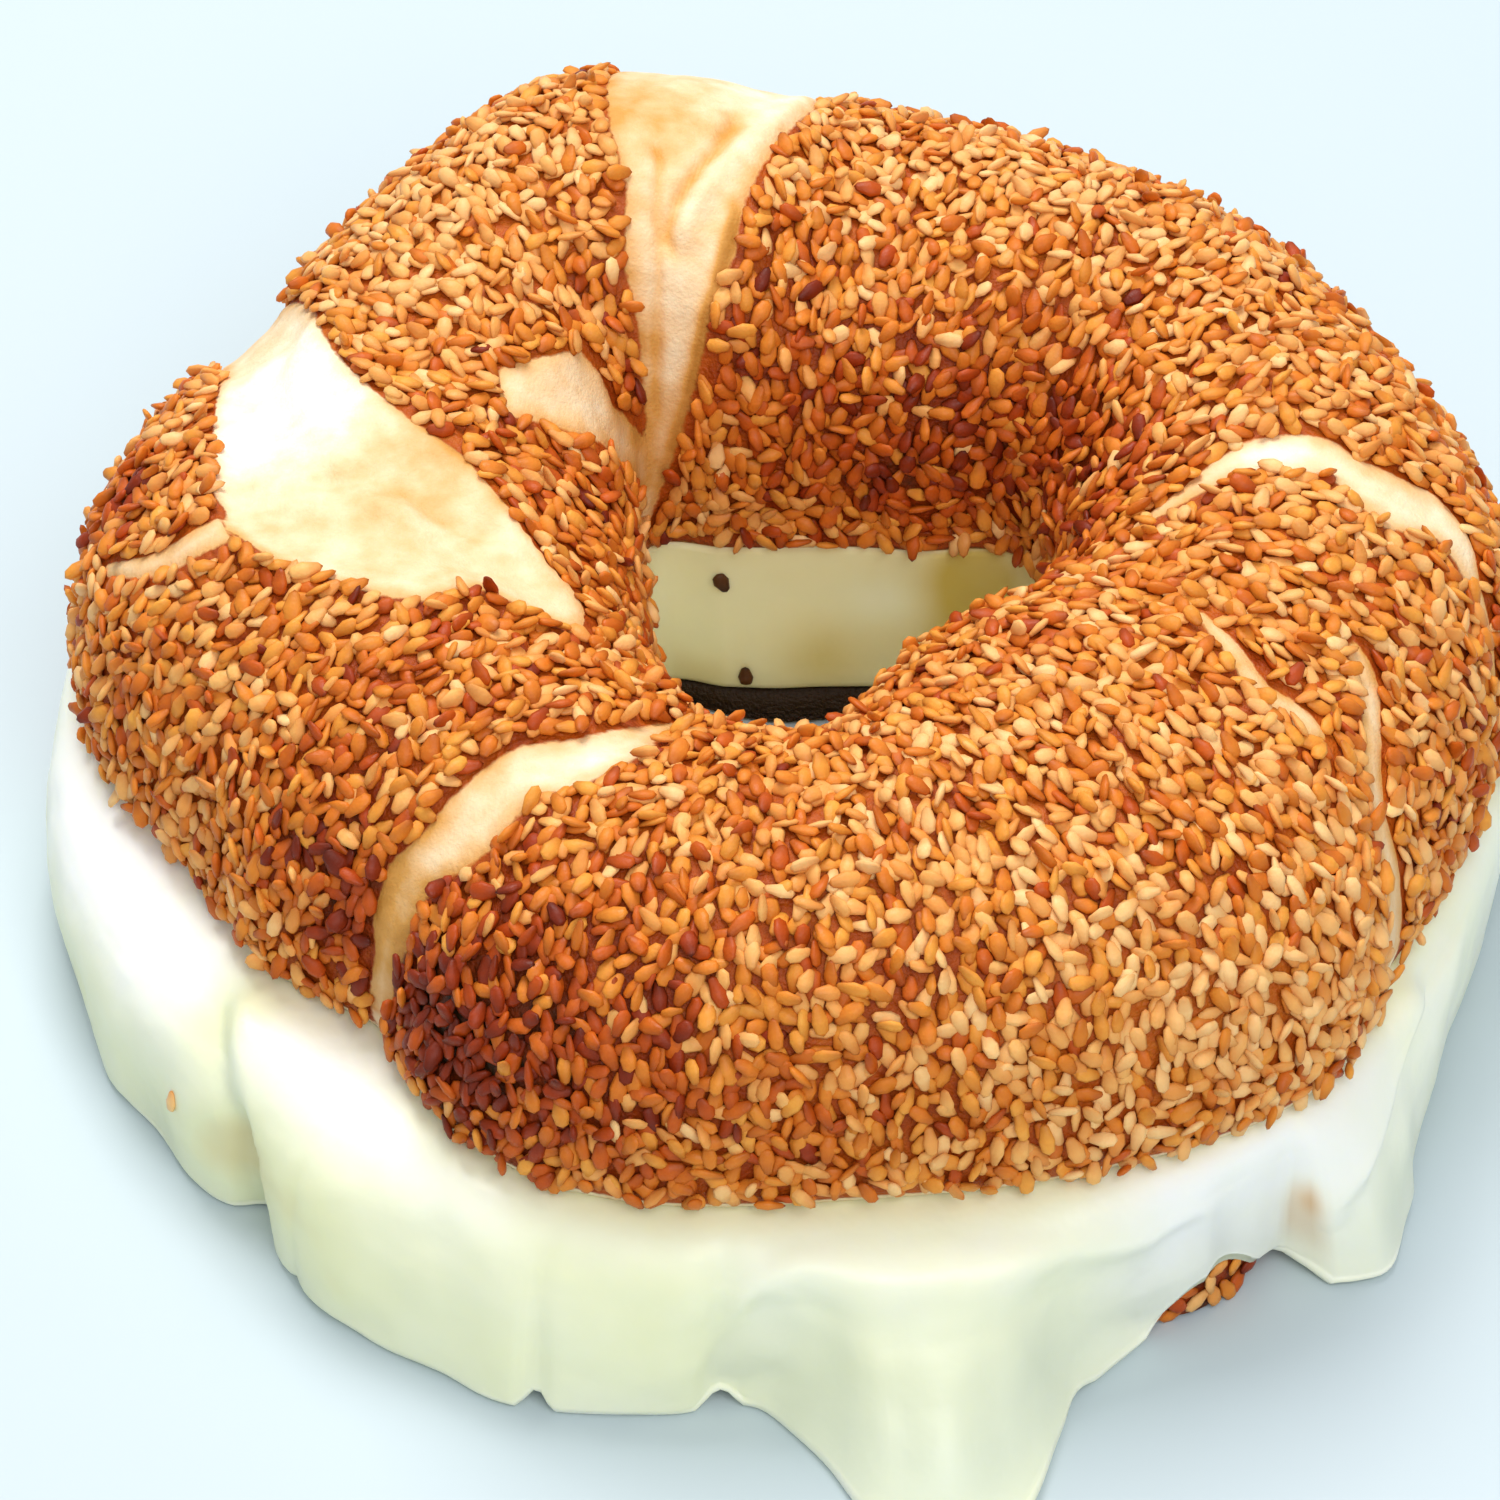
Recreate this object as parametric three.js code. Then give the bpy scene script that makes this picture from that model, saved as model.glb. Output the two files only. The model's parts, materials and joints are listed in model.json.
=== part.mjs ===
// A ring of twisted, sesame-crusted bread, cut level through its side and filled with
// white cheese that has melted, run over the lower half and set in lobes on what it stands on.
// Millimetres, +Z up. The ring stands on z = 0 round a vertical axis, and its front faces -Y.
// Angles are degrees round that axis: 0 is +X, 90 is the back, 180 is -X and 270 the front.
import * as THREE from 'three';
import { ParametricGeometry } from 'three/addons/geometries/ParametricGeometry.js';
import { mergeVertices } from 'three/addons/utils/BufferGeometryUtils.js';

// ---- Driving dimensions ----

const RING_RADIUS = 43; // middle of the strand, from the ring's axis
const STRAND_WIDTH = 46; // across one side of the ring
const BASE_HEIGHT = 14; // lower half, up to the cut
const FILLING_HEIGHT = 5; // cheese between the halves
const TOP_HEIGHT = 28; // upper half, from the cut to its crest
const GAP = 0.3; // clearance between pieces that touch

const OUTER_RADIUS = RING_RADIUS + STRAND_WIDTH / 2;
const INNER_RADIUS = RING_RADIUS - STRAND_WIDTH / 2;
const TOP_CUT = BASE_HEIGHT + FILLING_HEIGHT; // height of the upper half's cut face

// The ring's axis stands here, so that the whole part, tongue of cheese included, is centred.
const AXIS_X = 0.6;
const AXIS_Y = 9.3;

// Sections round the ring, closer together over the cheese's lobes at the front.
const ANGLES = [...between(210, 330, 2.5), ...between(330, 570, 4.8)];
const SIDE_SHARES = [0, 0.06, 0.17, 0.5, 1]; // steps up the lower half's rounded sides

// ---- How the hand-rolled ring differs from a true one: [angle, extra millimetres] ----

const TOP_OUTER = [
  [0, -0.5], [30, -2.5], [60, -1.8], [90, -0.6], [112, 1.9], [138, -3.1], [158, -2.4], [172, -1.5],
  [188, -3.6], [205, -8.7], [216, -8.5], [228, -10], [250, -2.6], [275, -4.1], [292, -2.6], [312, 0.1],
  [330, -4.1], [345, -3.7],
];
const TOP_INNER = [
  [0, 2], [20, 5.5], [42, 8], [60, 2.5], [90, 0], [108, 1], [124, 4], [150, -3.8],
  [180, -6], [225, -4], [270, 0.8], [295, -5], [330, -6.5], [348, -1.5],
];
const TOP_RISE = [
  [0, -1], [45, 0], [80, 0], [104, 5.5], [135, 1.6], [154, -0.8], [180, 0.3], [205, -0.5],
  [229, -2], [260, -1], [290, -0.5], [320, 0], [335, -1.5],
];
const BASE_OUTER = [
  [0, -1.2], [45, -1.5], [90, -1.5], [135, 0], [178, 0.5], [205, 0], [225, -1.5],
  [250, 1.5], [275, 1], [300, 1], [318, 0], [335, -2.6], [350, -2.6],
];

// Each seam of the twist as rows of [station, from angle, to angle]: station 0 is the outer
// cut edge, 90 the crest and 180 the inner cut edge. Depth is how far its bare dough lies
// below the seeded crust on both sides.
const SEAMS = [
  { depth: 1.2, rows: [[0, 74, 94], [80, 88, 108], [113, 100, 112], [142, 113, 121], [180, 126, 128]] },
  { depth: 2.4, rows: [[0, 138, 156], [65, 149, 172], [78, 155, 196], [98, 166, 209], [124, 222, 224]] },
  { depth: 1.4, rows: [[0, 231, 233], [48, 228, 234], [75, 233, 240], [104, 246, 250], [180, 258, 259]] },
  { depth: 0.8, rows: [[0, 325, 327], [56, 332, 334], [90, 332, 333]] },
  { depth: 1, rows: [[0, 345, 347], [49, 354, 356], [92, 5, 8], [125, 356, 358]] },
];

// ---- The cheese's skirt ----

const SHOULDER = 3; // how far its shoulder stands out past the lower half
const SKIRT = 2; // how far its foot stands out past the lower half
const HEM_AT_REST = 12.4; // height of its lower edge where it hasn't run over

// Where it has run over the edge, and how gently each end of that stretch rises: angles.
const RUN_FROM = 158;
const RUN_TO = 386;
const RUN_EASE = 26;

// Lobes (reach > 0) and notches (reach < 0) of the foot: angle, half width, millimetres.
const LOBES = [
  { at: 224.5, half: 4, reach: -2.5 },
  { at: 238, half: 8, reach: 1.5 },
  { at: 248.5, half: 8, reach: 3.5 },
  { at: 264.5, half: 4, reach: -2 },
  { at: 278.5, half: 11, reach: 18, power: 1.3 },
  { at: 315, half: 5.5, reach: 4.5, power: 1.3 },
];
const BARE_HEM = { at: 301.5, half: 7.5, lift: 6 }; // the lower half's crust shows here
const BARE_CRUST = { at: 302, half: 9, fullness: 0.9, power: 1.5 }; // and its edge is fuller

// Short drips that hang from its edge round the back: angle, half width, millimetres.
const DRIPS = [
  { at: 147, half: 8, reach: 4.4, power: 1.6 },
  { at: 110, half: 10, reach: 2.6, power: 1.4 },
  { at: 68, half: 8, reach: 5.4, power: 1.6 },
  { at: 36, half: 8, reach: 3.6 },
];

// ---- The hole ----

const HOLE_RUN = { at: 90, half: 75 }; // the stretch of its wall that the cheese has run down
const HOLE_BULGE = 1.5; // how far the cheese bulges at the foot of that wall
const HOLE_FOOT = 2.4; // height of that foot, and of the crust's rim below it
const HOLE_FOOT_AT_REST = 6; // height of the cheese's lower edge elsewhere in the hole
const HOLE_STEP = 2; // how far the lower half's wall lies behind the upper half's

// Foot of crust that reaches into the hole under the cheese: angle, half width, millimetres.
const HOLE_RIM = { at: 90, half: 80, reach: 7.5, power: 1.2 };

// ---- Helpers ----

const { clamp, lerp, smoothstep } = THREE.MathUtils;

/** Difference of two angles in degrees, from -180 to 180. */
function turn(from, to) {
  return THREE.MathUtils.euclideanModulo(to - from + 180, 360) - 180;
}

/** A bump of height 1 at an angle, gone at its half width; a low power makes it blunt. */
function bump(angle, { at, half, power = 2 }) {
  const share = clamp(Math.abs(turn(at, angle)) / half, 0, 1);
  return (1 - share * share) ** power;
}

/** Smooth value at an angle through knots of [angle, value] that close on themselves. */
function around(knots, angle) {
  const count = knots.length;
  const knot = (i) => {
    const lap = Math.floor(i / count);
    const [at, value] = knots[i - lap * count];
    return [at + lap * 360, value];
  };
  const wrapped = THREE.MathUtils.euclideanModulo(angle, 360);
  let index = count - 1;
  while (index > 0 && knots[index][0] > wrapped) index -= 1;
  const [before, start, end, after] = [-1, 0, 1, 2].map((step) => knot(index + step));
  const span = end[0] - start[0];
  const t = (wrapped - start[0]) / span;
  const startSlope = ((end[1] - before[1]) / (end[0] - before[0])) * span;
  const endSlope = ((after[1] - start[1]) / (after[0] - start[0])) * span;
  const rise = end[1] - start[1];
  const square = 3 * rise - 2 * startSlope - endSlope;
  const cube = startSlope + endSlope - 2 * rise;
  return start[1] + t * (startSlope + t * (square + t * cube));
}

/** How deep in a seam's groove a station of the crust is, in millimetres. */
function groove(angle, station) {
  let depth = 0;
  for (const seam of SEAMS) {
    const { rows } = seam;
    const last = rows.length - 1;
    if (station > rows[last][0]) continue;
    let row = 0;
    while (row < last - 1 && rows[row + 1][0] < station) row += 1;
    const share = (station - rows[row][0]) / (rows[row + 1][0] - rows[row][0]);
    const from = rows[row][1] + share * turn(rows[row][1], rows[row + 1][1]);
    const to = rows[row][2] + share * turn(rows[row][2], rows[row + 1][2]);
    const half = turn(from, to) / 2;
    const off = Math.abs(turn((from + to) / 2, angle));
    const end = smoothstep(rows[last][0] - station, 0, 20);
    depth += seam.depth * (1 - smoothstep(off, half * 0.3, half + 6)) * end;
  }
  return depth;
}

/** A [radius, height] point of the upper half's crust, at a station from 0 to 180. */
function crustPoint(angle, station) {
  const outer = OUTER_RADIUS + around(TOP_OUTER, angle);
  const inner = INNER_RADIUS + around(TOP_INNER, angle);
  const rise = TOP_HEIGHT + around(TOP_RISE, angle);
  const tuck = 18; // degrees of arc by which the cut is below the widest place
  const bend = THREE.MathUtils.degToRad(lerp(-tuck, 180 + tuck, station / 180));
  const flat = Math.sin(THREE.MathUtils.degToRad(tuck));
  const across = Math.cos(bend) / Math.sqrt(1 - flat * flat);
  const up = (Math.sin(bend) + flat) / (1 + flat);
  const sunk = 1 - groove(angle, station) / rise;
  const radius = (outer + inner) / 2 + ((outer - inner) / 2) * across * sunk;
  return [radius, TOP_CUT + rise * up * sunk];
}

/** Radius of the lower half's outside and of its hole, at a height. */
function baseRadii(angle, height) {
  const belly = 7; // height of its widest place
  const undercut = 6; // how far the round of its bottom edge comes in
  const taper = 0.8; // how far it comes in again at the cut
  const holeUndercut = 0.7; // the same round in the hole, as a share
  const drop = clamp((belly - height) / belly, 0, 1);
  const round = undercut * (1 - Math.sqrt(1 - drop * drop * 0.96));
  const above = clamp((height - belly) / belly, 0, 1) * taper;
  const fuller = BARE_CRUST.fullness * bump(angle, BARE_CRUST);
  const outer = OUTER_RADIUS + around(BASE_OUTER, angle) - round * (1 - fuller) - above;
  const low = clamp(1 - height / HOLE_FOOT, 0, 1) ** 1.5;
  const rim = HOLE_RIM.reach * bump(angle, HOLE_RIM) * low * (1 + (holeUndercut * round) / undercut);
  const inner = INNER_RADIUS + around(TOP_INNER, angle) + HOLE_STEP + holeUndercut * round - rim;
  return { outer, inner };
}

/** Numbers from one to another, the last left out. */
function between(from, to, step) {
  return Array.from({ length: Math.round((to - from) / step) }, (_, i) => from + i * step);
}

/** Evenly spaced shares from 0 to 1, both included. */
function shares(steps) {
  return Array.from({ length: steps + 1 }, (_, step) => step / steps);
}

/** Closed ring: section(angle) lists its [radius, height] points, anticlockwise seen from -Y. */
function ring(name, colour, roughness, section) {
  const sections = ANGLES.map(section);
  const corners = sections[0].length;
  const geometry = new ParametricGeometry((u, v, target) => {
    const place = Math.round(u * ANGLES.length) % ANGLES.length;
    const [radius, height] = sections[place][Math.round(v * corners) % corners];
    const angle = THREE.MathUtils.degToRad(ANGLES[place]);
    target.set(radius * Math.cos(angle), radius * Math.sin(angle), height);
  }, ANGLES.length, corners);
  geometry.deleteAttribute('normal');
  geometry.deleteAttribute('uv');
  const closed = mergeVertices(geometry, 1e-3);
  closed.computeVertexNormals();
  const material = new THREE.MeshStandardMaterial({ color: colour, roughness, metalness: 0 });
  const mesh = new THREE.Mesh(closed, material);
  mesh.name = name;
  mesh.position.set(AXIS_X, AXIS_Y, 0);
  return mesh;
}

// ---- The three pieces ----

/** Upper half: a lobed crust over a flat cut face. */
function topSection(angle) {
  const archSteps = 15;
  return shares(archSteps).map((share) => crustPoint(angle, share * 180));
}

/** Lower half: rounded sides between a flat bottom and a flat cut face. */
function bottomSection(angle) {
  const heights = SIDE_SHARES.map((share) => share * BASE_HEIGHT);
  const outside = heights.map((height) => [baseRadii(angle, height).outer, height]);
  const inHole = heights.map((height) => [baseRadii(angle, height).inner, height]);
  return [...outside, ...inHole.reverse()];
}

/** Height of the cheese's lower edge on the outside. */
function hem(angle) {
  const middle = (RUN_FROM + RUN_TO) / 2;
  const inside = (RUN_TO - RUN_FROM) / 2 - Math.abs(turn(middle, angle));
  const run = smoothstep(inside, 0, RUN_EASE);
  const hanging = HEM_AT_REST - DRIPS.reduce((sum, drip) => sum + drip.reach * bump(angle, drip), 0);
  return lerp(hanging, BARE_HEM.lift * bump(angle, BARE_HEM), run);
}

/** The cheese's outer face, from under the upper half down to its lower edge. */
function skirt(angle, steps) {
  const base = OUTER_RADIUS + around(BASE_OUTER, angle);
  const top = OUTER_RADIUS + around(TOP_OUTER, angle) - 0.5;
  const low = hem(angle);
  const run = 1 - low / HEM_AT_REST;
  const reach = LOBES.reduce((sum, lobe) => sum + lobe.reach * bump(angle, lobe), 0);
  const flare = clamp(reach / 12, 0, 1); // 1 where a tongue runs out flat
  const edge = baseRadii(angle, low).outer;
  const foot = lerp(edge + 1.2, base + SKIRT + reach, run);
  const shoulder = Math.max(lerp(edge + 1.6, base + SHOULDER, run), top + 1.5);
  const heel = lerp(foot + 1.2 * run, base + 0.3 * reach, flare);
  const curve = new THREE.CubicBezierCurve(
    new THREE.Vector2(top, TOP_CUT - GAP),
    new THREE.Vector2(shoulder, TOP_CUT - GAP),
    new THREE.Vector2(heel, lerp(low + 6 * run, 1.6, flare)),
    new THREE.Vector2(foot, low),
  );
  return shares(steps).map((share) => curve.getPoint(share).toArray());
}

/** Cheese: a layer between the halves, a skirt outside and a thin wall in the hole. */
function cheeseSection(angle) {
  const skirtSteps = 7;
  const skin = (height) => lerp(0.9, GAP + 0.1, height / seat); // wider round the bottom edge
  const seat = BASE_HEIGHT + GAP;
  const low = hem(angle);
  const foot = lerp(HOLE_FOOT_AT_REST, HOLE_FOOT, smoothstep(bump(angle, HOLE_RUN), 0, 0.4));
  const wall = INNER_RADIUS + around(TOP_INNER, angle) + GAP;
  const beside = (height) => baseRadii(angle, Math.min(height, BASE_HEIGHT));
  const behind = SIDE_SHARES.map((share) => lerp(low, seat, share));
  const inHole = SIDE_SHARES.map((share) => lerp(foot, seat, share)).reverse();
  return [
    ...skirt(angle, skirtSteps),
    ...behind.map((height) => [beside(height).outer + skin(height), height]),
    ...inHole.map((height) => [beside(height).inner - skin(height), height]),
    [wall - HOLE_BULGE * bump(angle, HOLE_RUN), foot],
    [wall, TOP_CUT - GAP],
  ].reverse();
}

const simit = new THREE.Group();
simit.add(
  ring('top_half', 0xb8662b, 0.75, topSection),
  ring('cheese', 0xf4f3d8, 0.35, cheeseSection),
  ring('bottom_half', 0xb8662b, 0.8, bottomSection),
);

export default simit;
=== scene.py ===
"""Cheese-filled simit: a ring of twisted sesame bread, cut level over melted cheese, dressed and lit.

Shapes are worked out in millimetres round the ring's own axis and become metres as a mesh is placed.
Angles are degrees round that axis: 0 is +X, 90 the back, 180 -X and 270 the front. A station goes
over the upper half's crust: 0 is its outer cut edge, 90 the crest and 180 its inner cut edge. A share
goes down the cheese's skirt: 0 is its top edge, 1 its hem and 2 the inner end of the lip below it.
"""

import json
import logging
import math
from collections.abc import Callable, Sequence
from dataclasses import dataclass, field
from enum import Enum

import bpy
import numpy as np
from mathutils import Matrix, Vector, noise

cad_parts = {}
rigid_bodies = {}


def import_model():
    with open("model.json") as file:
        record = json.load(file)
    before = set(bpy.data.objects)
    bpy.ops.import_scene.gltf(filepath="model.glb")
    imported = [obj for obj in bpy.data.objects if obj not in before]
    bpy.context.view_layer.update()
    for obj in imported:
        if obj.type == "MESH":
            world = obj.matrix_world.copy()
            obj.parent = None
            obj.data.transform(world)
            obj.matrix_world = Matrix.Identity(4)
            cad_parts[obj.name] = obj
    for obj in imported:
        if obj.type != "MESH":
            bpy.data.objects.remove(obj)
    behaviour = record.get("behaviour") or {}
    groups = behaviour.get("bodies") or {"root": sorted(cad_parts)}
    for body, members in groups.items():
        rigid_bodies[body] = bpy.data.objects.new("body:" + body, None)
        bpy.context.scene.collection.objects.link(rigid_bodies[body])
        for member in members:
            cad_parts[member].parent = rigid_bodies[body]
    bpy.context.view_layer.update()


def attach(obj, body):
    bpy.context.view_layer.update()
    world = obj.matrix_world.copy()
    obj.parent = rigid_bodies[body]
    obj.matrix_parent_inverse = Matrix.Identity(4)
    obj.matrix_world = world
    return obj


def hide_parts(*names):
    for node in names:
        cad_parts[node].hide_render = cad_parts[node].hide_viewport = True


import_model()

LOG = logging.getLogger("simit")
MM = 0.001
BODY = "root"

Array = np.ndarray
Socket = bpy.types.NodeSocket
Colour = tuple[float, float, float, float]
Rows = tuple[tuple[float, ...], ...]


def tone(red: int, green: int, blue: int) -> Colour:
    """Turns a screen colour into the linear one that shaders take.

    Args:
        red: Level of red, from 0 to 255.
        green: Level of green.
        blue: Level of blue.

    Returns:
        The linear colour, with its alpha.
    """
    levels = (red / 255, green / 255, blue / 255)
    linear = (each / 12.92 if each <= 0.04045 else ((each + 0.055) / 1.055) ** 2.4 for each in levels)
    return (*linear, 1.0)


def smoothstep(value: Array, low: float, high: float) -> Array:
    """Smooth rise from 0 at low to 1 at high."""
    share = np.clip((value - low) / (high - low), 0.0, 1.0)
    return share * share * (3.0 - 2.0 * share)


def lerp(start: Array, end: Array, share: Array) -> Array:
    """Point a share of the way from start to end."""
    return start + (end - start) * share


def turn(start: Array, end: Array) -> Array:
    """Signed difference of two angles in degrees, from -180 to 180."""
    return np.mod(end - start + 180.0, 360.0) - 180.0


def cloud(points: Array, size: float, pattern: int) -> Array:
    """Smooth noise at points.

    Args:
        points: Places in millimetres, with x, y and z last.
        size: Size of one lump, in millimetres.
        pattern: Number of the pattern, each a place of its own in the noise.

    Returns:
        Values from about -1 to 1, in the shape of the points.
    """
    apart = 17.3
    flat = points.reshape(-1, 3) / size + pattern * apart
    values = [noise.noise(Vector(point)) for point in flat]
    return np.array(values).reshape(points.shape[:-1])


# ---- The form of the ring ----


@dataclass(frozen=True)
class Outline:
    """Smooth closed curve of a value round the ring, through knots of (angle, millimetres)."""

    knots: Rows

    def at(self, angles: Array) -> Array:
        """Follows the curve, whose slope at a knot is that of the line between its neighbours.

        Args:
            angles: Degrees round the ring.

        Returns:
            The values there, in millimetres.
        """
        places, values = np.array(self.knots, float).T
        places = np.concatenate([places[-2:] - 360.0, places, places[:2] + 360.0])
        values = np.concatenate([values[-2:], values, values[:2]])
        wrapped = np.mod(angles, 360.0)
        start = np.searchsorted(places, wrapped, side="right") - 1
        span = places[start + 1] - places[start]
        share = (wrapped - places[start]) / span
        leaving = (values[start + 1] - values[start - 1]) / (places[start + 1] - places[start - 1]) * span
        arriving = (values[start + 2] - values[start]) / (places[start + 2] - places[start]) * span
        rise = values[start + 1] - values[start]
        square = 3.0 * rise - 2.0 * leaving - arriving
        cube = leaving + arriving - 2.0 * rise
        return values[start] + share * (leaving + share * (square + share * cube))


@dataclass(frozen=True)
class Seam:
    """Bare dough where two turns of the twist part.

    Attributes:
        rows: (station, from angle, to angle) down the seam.
        depth: How far the dough lies below the crust on both sides, in millimetres.
        reach: Degrees past each edge over which the crust dips to it.
        bed: Share of the half width that lies at the full depth.
        run_out: Stations over which the dip runs out at an end.
        station_length: Length of one station over the crust, in millimetres.
    """

    rows: Rows
    depth: float
    reach: float = 6.0
    bed: float = 0.3
    run_out: float = 20.0
    station_length: float = 0.47

    def span(self, stations: Array) -> tuple[Array, Array]:
        """Middle and half width of the seam at the stations, in degrees."""
        low, high = (np.interp(stations, *np.array(self.rows, float).T[[0, side]]) for side in (1, 2))
        return (low + high) / 2.0, (high - low) / 2.0

    def inside(self, angles: Array, stations: Array, radii: Array) -> Array:
        """Measures how far places lie inside the seam.

        Args:
            angles: Degrees round the ring.
            stations: Stations of the places.
            radii: Their radii, in millimetres.

        Returns:
            Distances inside the seam's edge in millimetres, negative outside it.
        """
        middle, half = self.span(stations)
        across = (half - np.abs(turn(middle, angles))) * np.radians(1.0) * radii
        along = np.minimum(stations - self.rows[0][0], self.rows[-1][0] - stations) * self.station_length
        return np.minimum(across, along)

    def groove(self, angles: Array, stations: Array) -> Array:
        """Works out the dip that the seam lies in.

        Args:
            angles: Degrees round the ring.
            stations: Stations of the places.

        Returns:
            Depths in millimetres.
        """
        middle, half = self.span(stations)
        first, last = self.rows[0][0], self.rows[-1][0]
        start = smoothstep(stations - first, 0.0, self.run_out) if first > 0.0 else 1.0
        end = smoothstep(last - stations, 0.0, self.run_out)
        past_bed = np.abs(turn(middle, angles)) - half * self.bed
        dip = 1.0 - np.clip(past_bed / (half * (1.0 - self.bed) + self.reach), 0.0, 1.0)
        return self.depth * dip * dip * (3.0 - 2.0 * dip) * start * end


@dataclass(frozen=True)
class Crease:
    """A ridge or a crease of stretched dough along a line.

    Attributes:
        line: (station, angle) along it.
        height: How far it stands out in millimetres, below 0 for a crease.
        width: Its half width, in degrees.
        cream: How much paler its dough is, below 0 for a browner one.
        run_out: Stations over which it runs out past its ends.
    """

    line: Rows
    height: float
    width: float
    cream: float
    run_out: float = 6.0

    def level(self, angles: Array, stations: Array) -> Array:
        """Works out how strong the crease is.

        Args:
            angles: Degrees round the ring.
            stations: Stations of the places.

        Returns:
            Values from 0 to 1, which they reach along the line.
        """
        places, degrees = np.array(self.line, float).T
        off = turn(np.interp(stations, places, degrees), angles) / self.width
        start = smoothstep(stations, places[0] - self.run_out, places[0])
        end = smoothstep(-stations, -places[-1] - self.run_out, -places[-1])
        return np.exp(-off * off) * (start * end)


@dataclass(frozen=True)
class Ring:
    """The driving sizes of the ring, in millimetres, and where its axis stands."""

    axis: tuple[float, float] = (0.6, 9.3)
    strand_radius: float = 43.0
    strand_width: float = 46.0
    base_height: float = 14.0
    filling_height: float = 5.0
    top_height: float = 28.0
    gap: float = 0.3

    @property
    def outer(self) -> float:
        """Radius of the ring's outside."""
        return self.strand_radius + self.strand_width / 2.0

    @property
    def inner(self) -> float:
        """Radius of the ring's hole."""
        return self.strand_radius - self.strand_width / 2.0

    @property
    def cut(self) -> float:
        """Height of the upper half's cut face."""
        return self.base_height + self.filling_height

    def points(self, angles: Array, radii: Array, heights: Array) -> Array:
        """Turns places round the axis into plain ones.

        Args:
            angles: Degrees round the ring.
            radii: Distances from its axis, in millimetres.
            heights: Heights, in millimetres.

        Returns:
            Places in millimetres, with x, y and z last.
        """
        across = self.axis[0] + radii * np.cos(np.radians(angles))
        along = self.axis[1] + radii * np.sin(np.radians(angles))
        return np.stack([across, along, heights + 0.0 * radii], axis=-1)


@dataclass(frozen=True)
class Bump:
    """A bump of height reach at an angle, gone at its half width; a low power makes it blunt."""

    at: float
    half: float
    reach: float = 1.0
    power: float = 2.0

    def height(self, angles: Array) -> Array:
        """Height of the bump at the angles."""
        share = np.clip(np.abs(turn(self.at, angles)) / self.half, 0.0, 1.0)
        return self.reach * (1.0 - share * share) ** self.power


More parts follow.
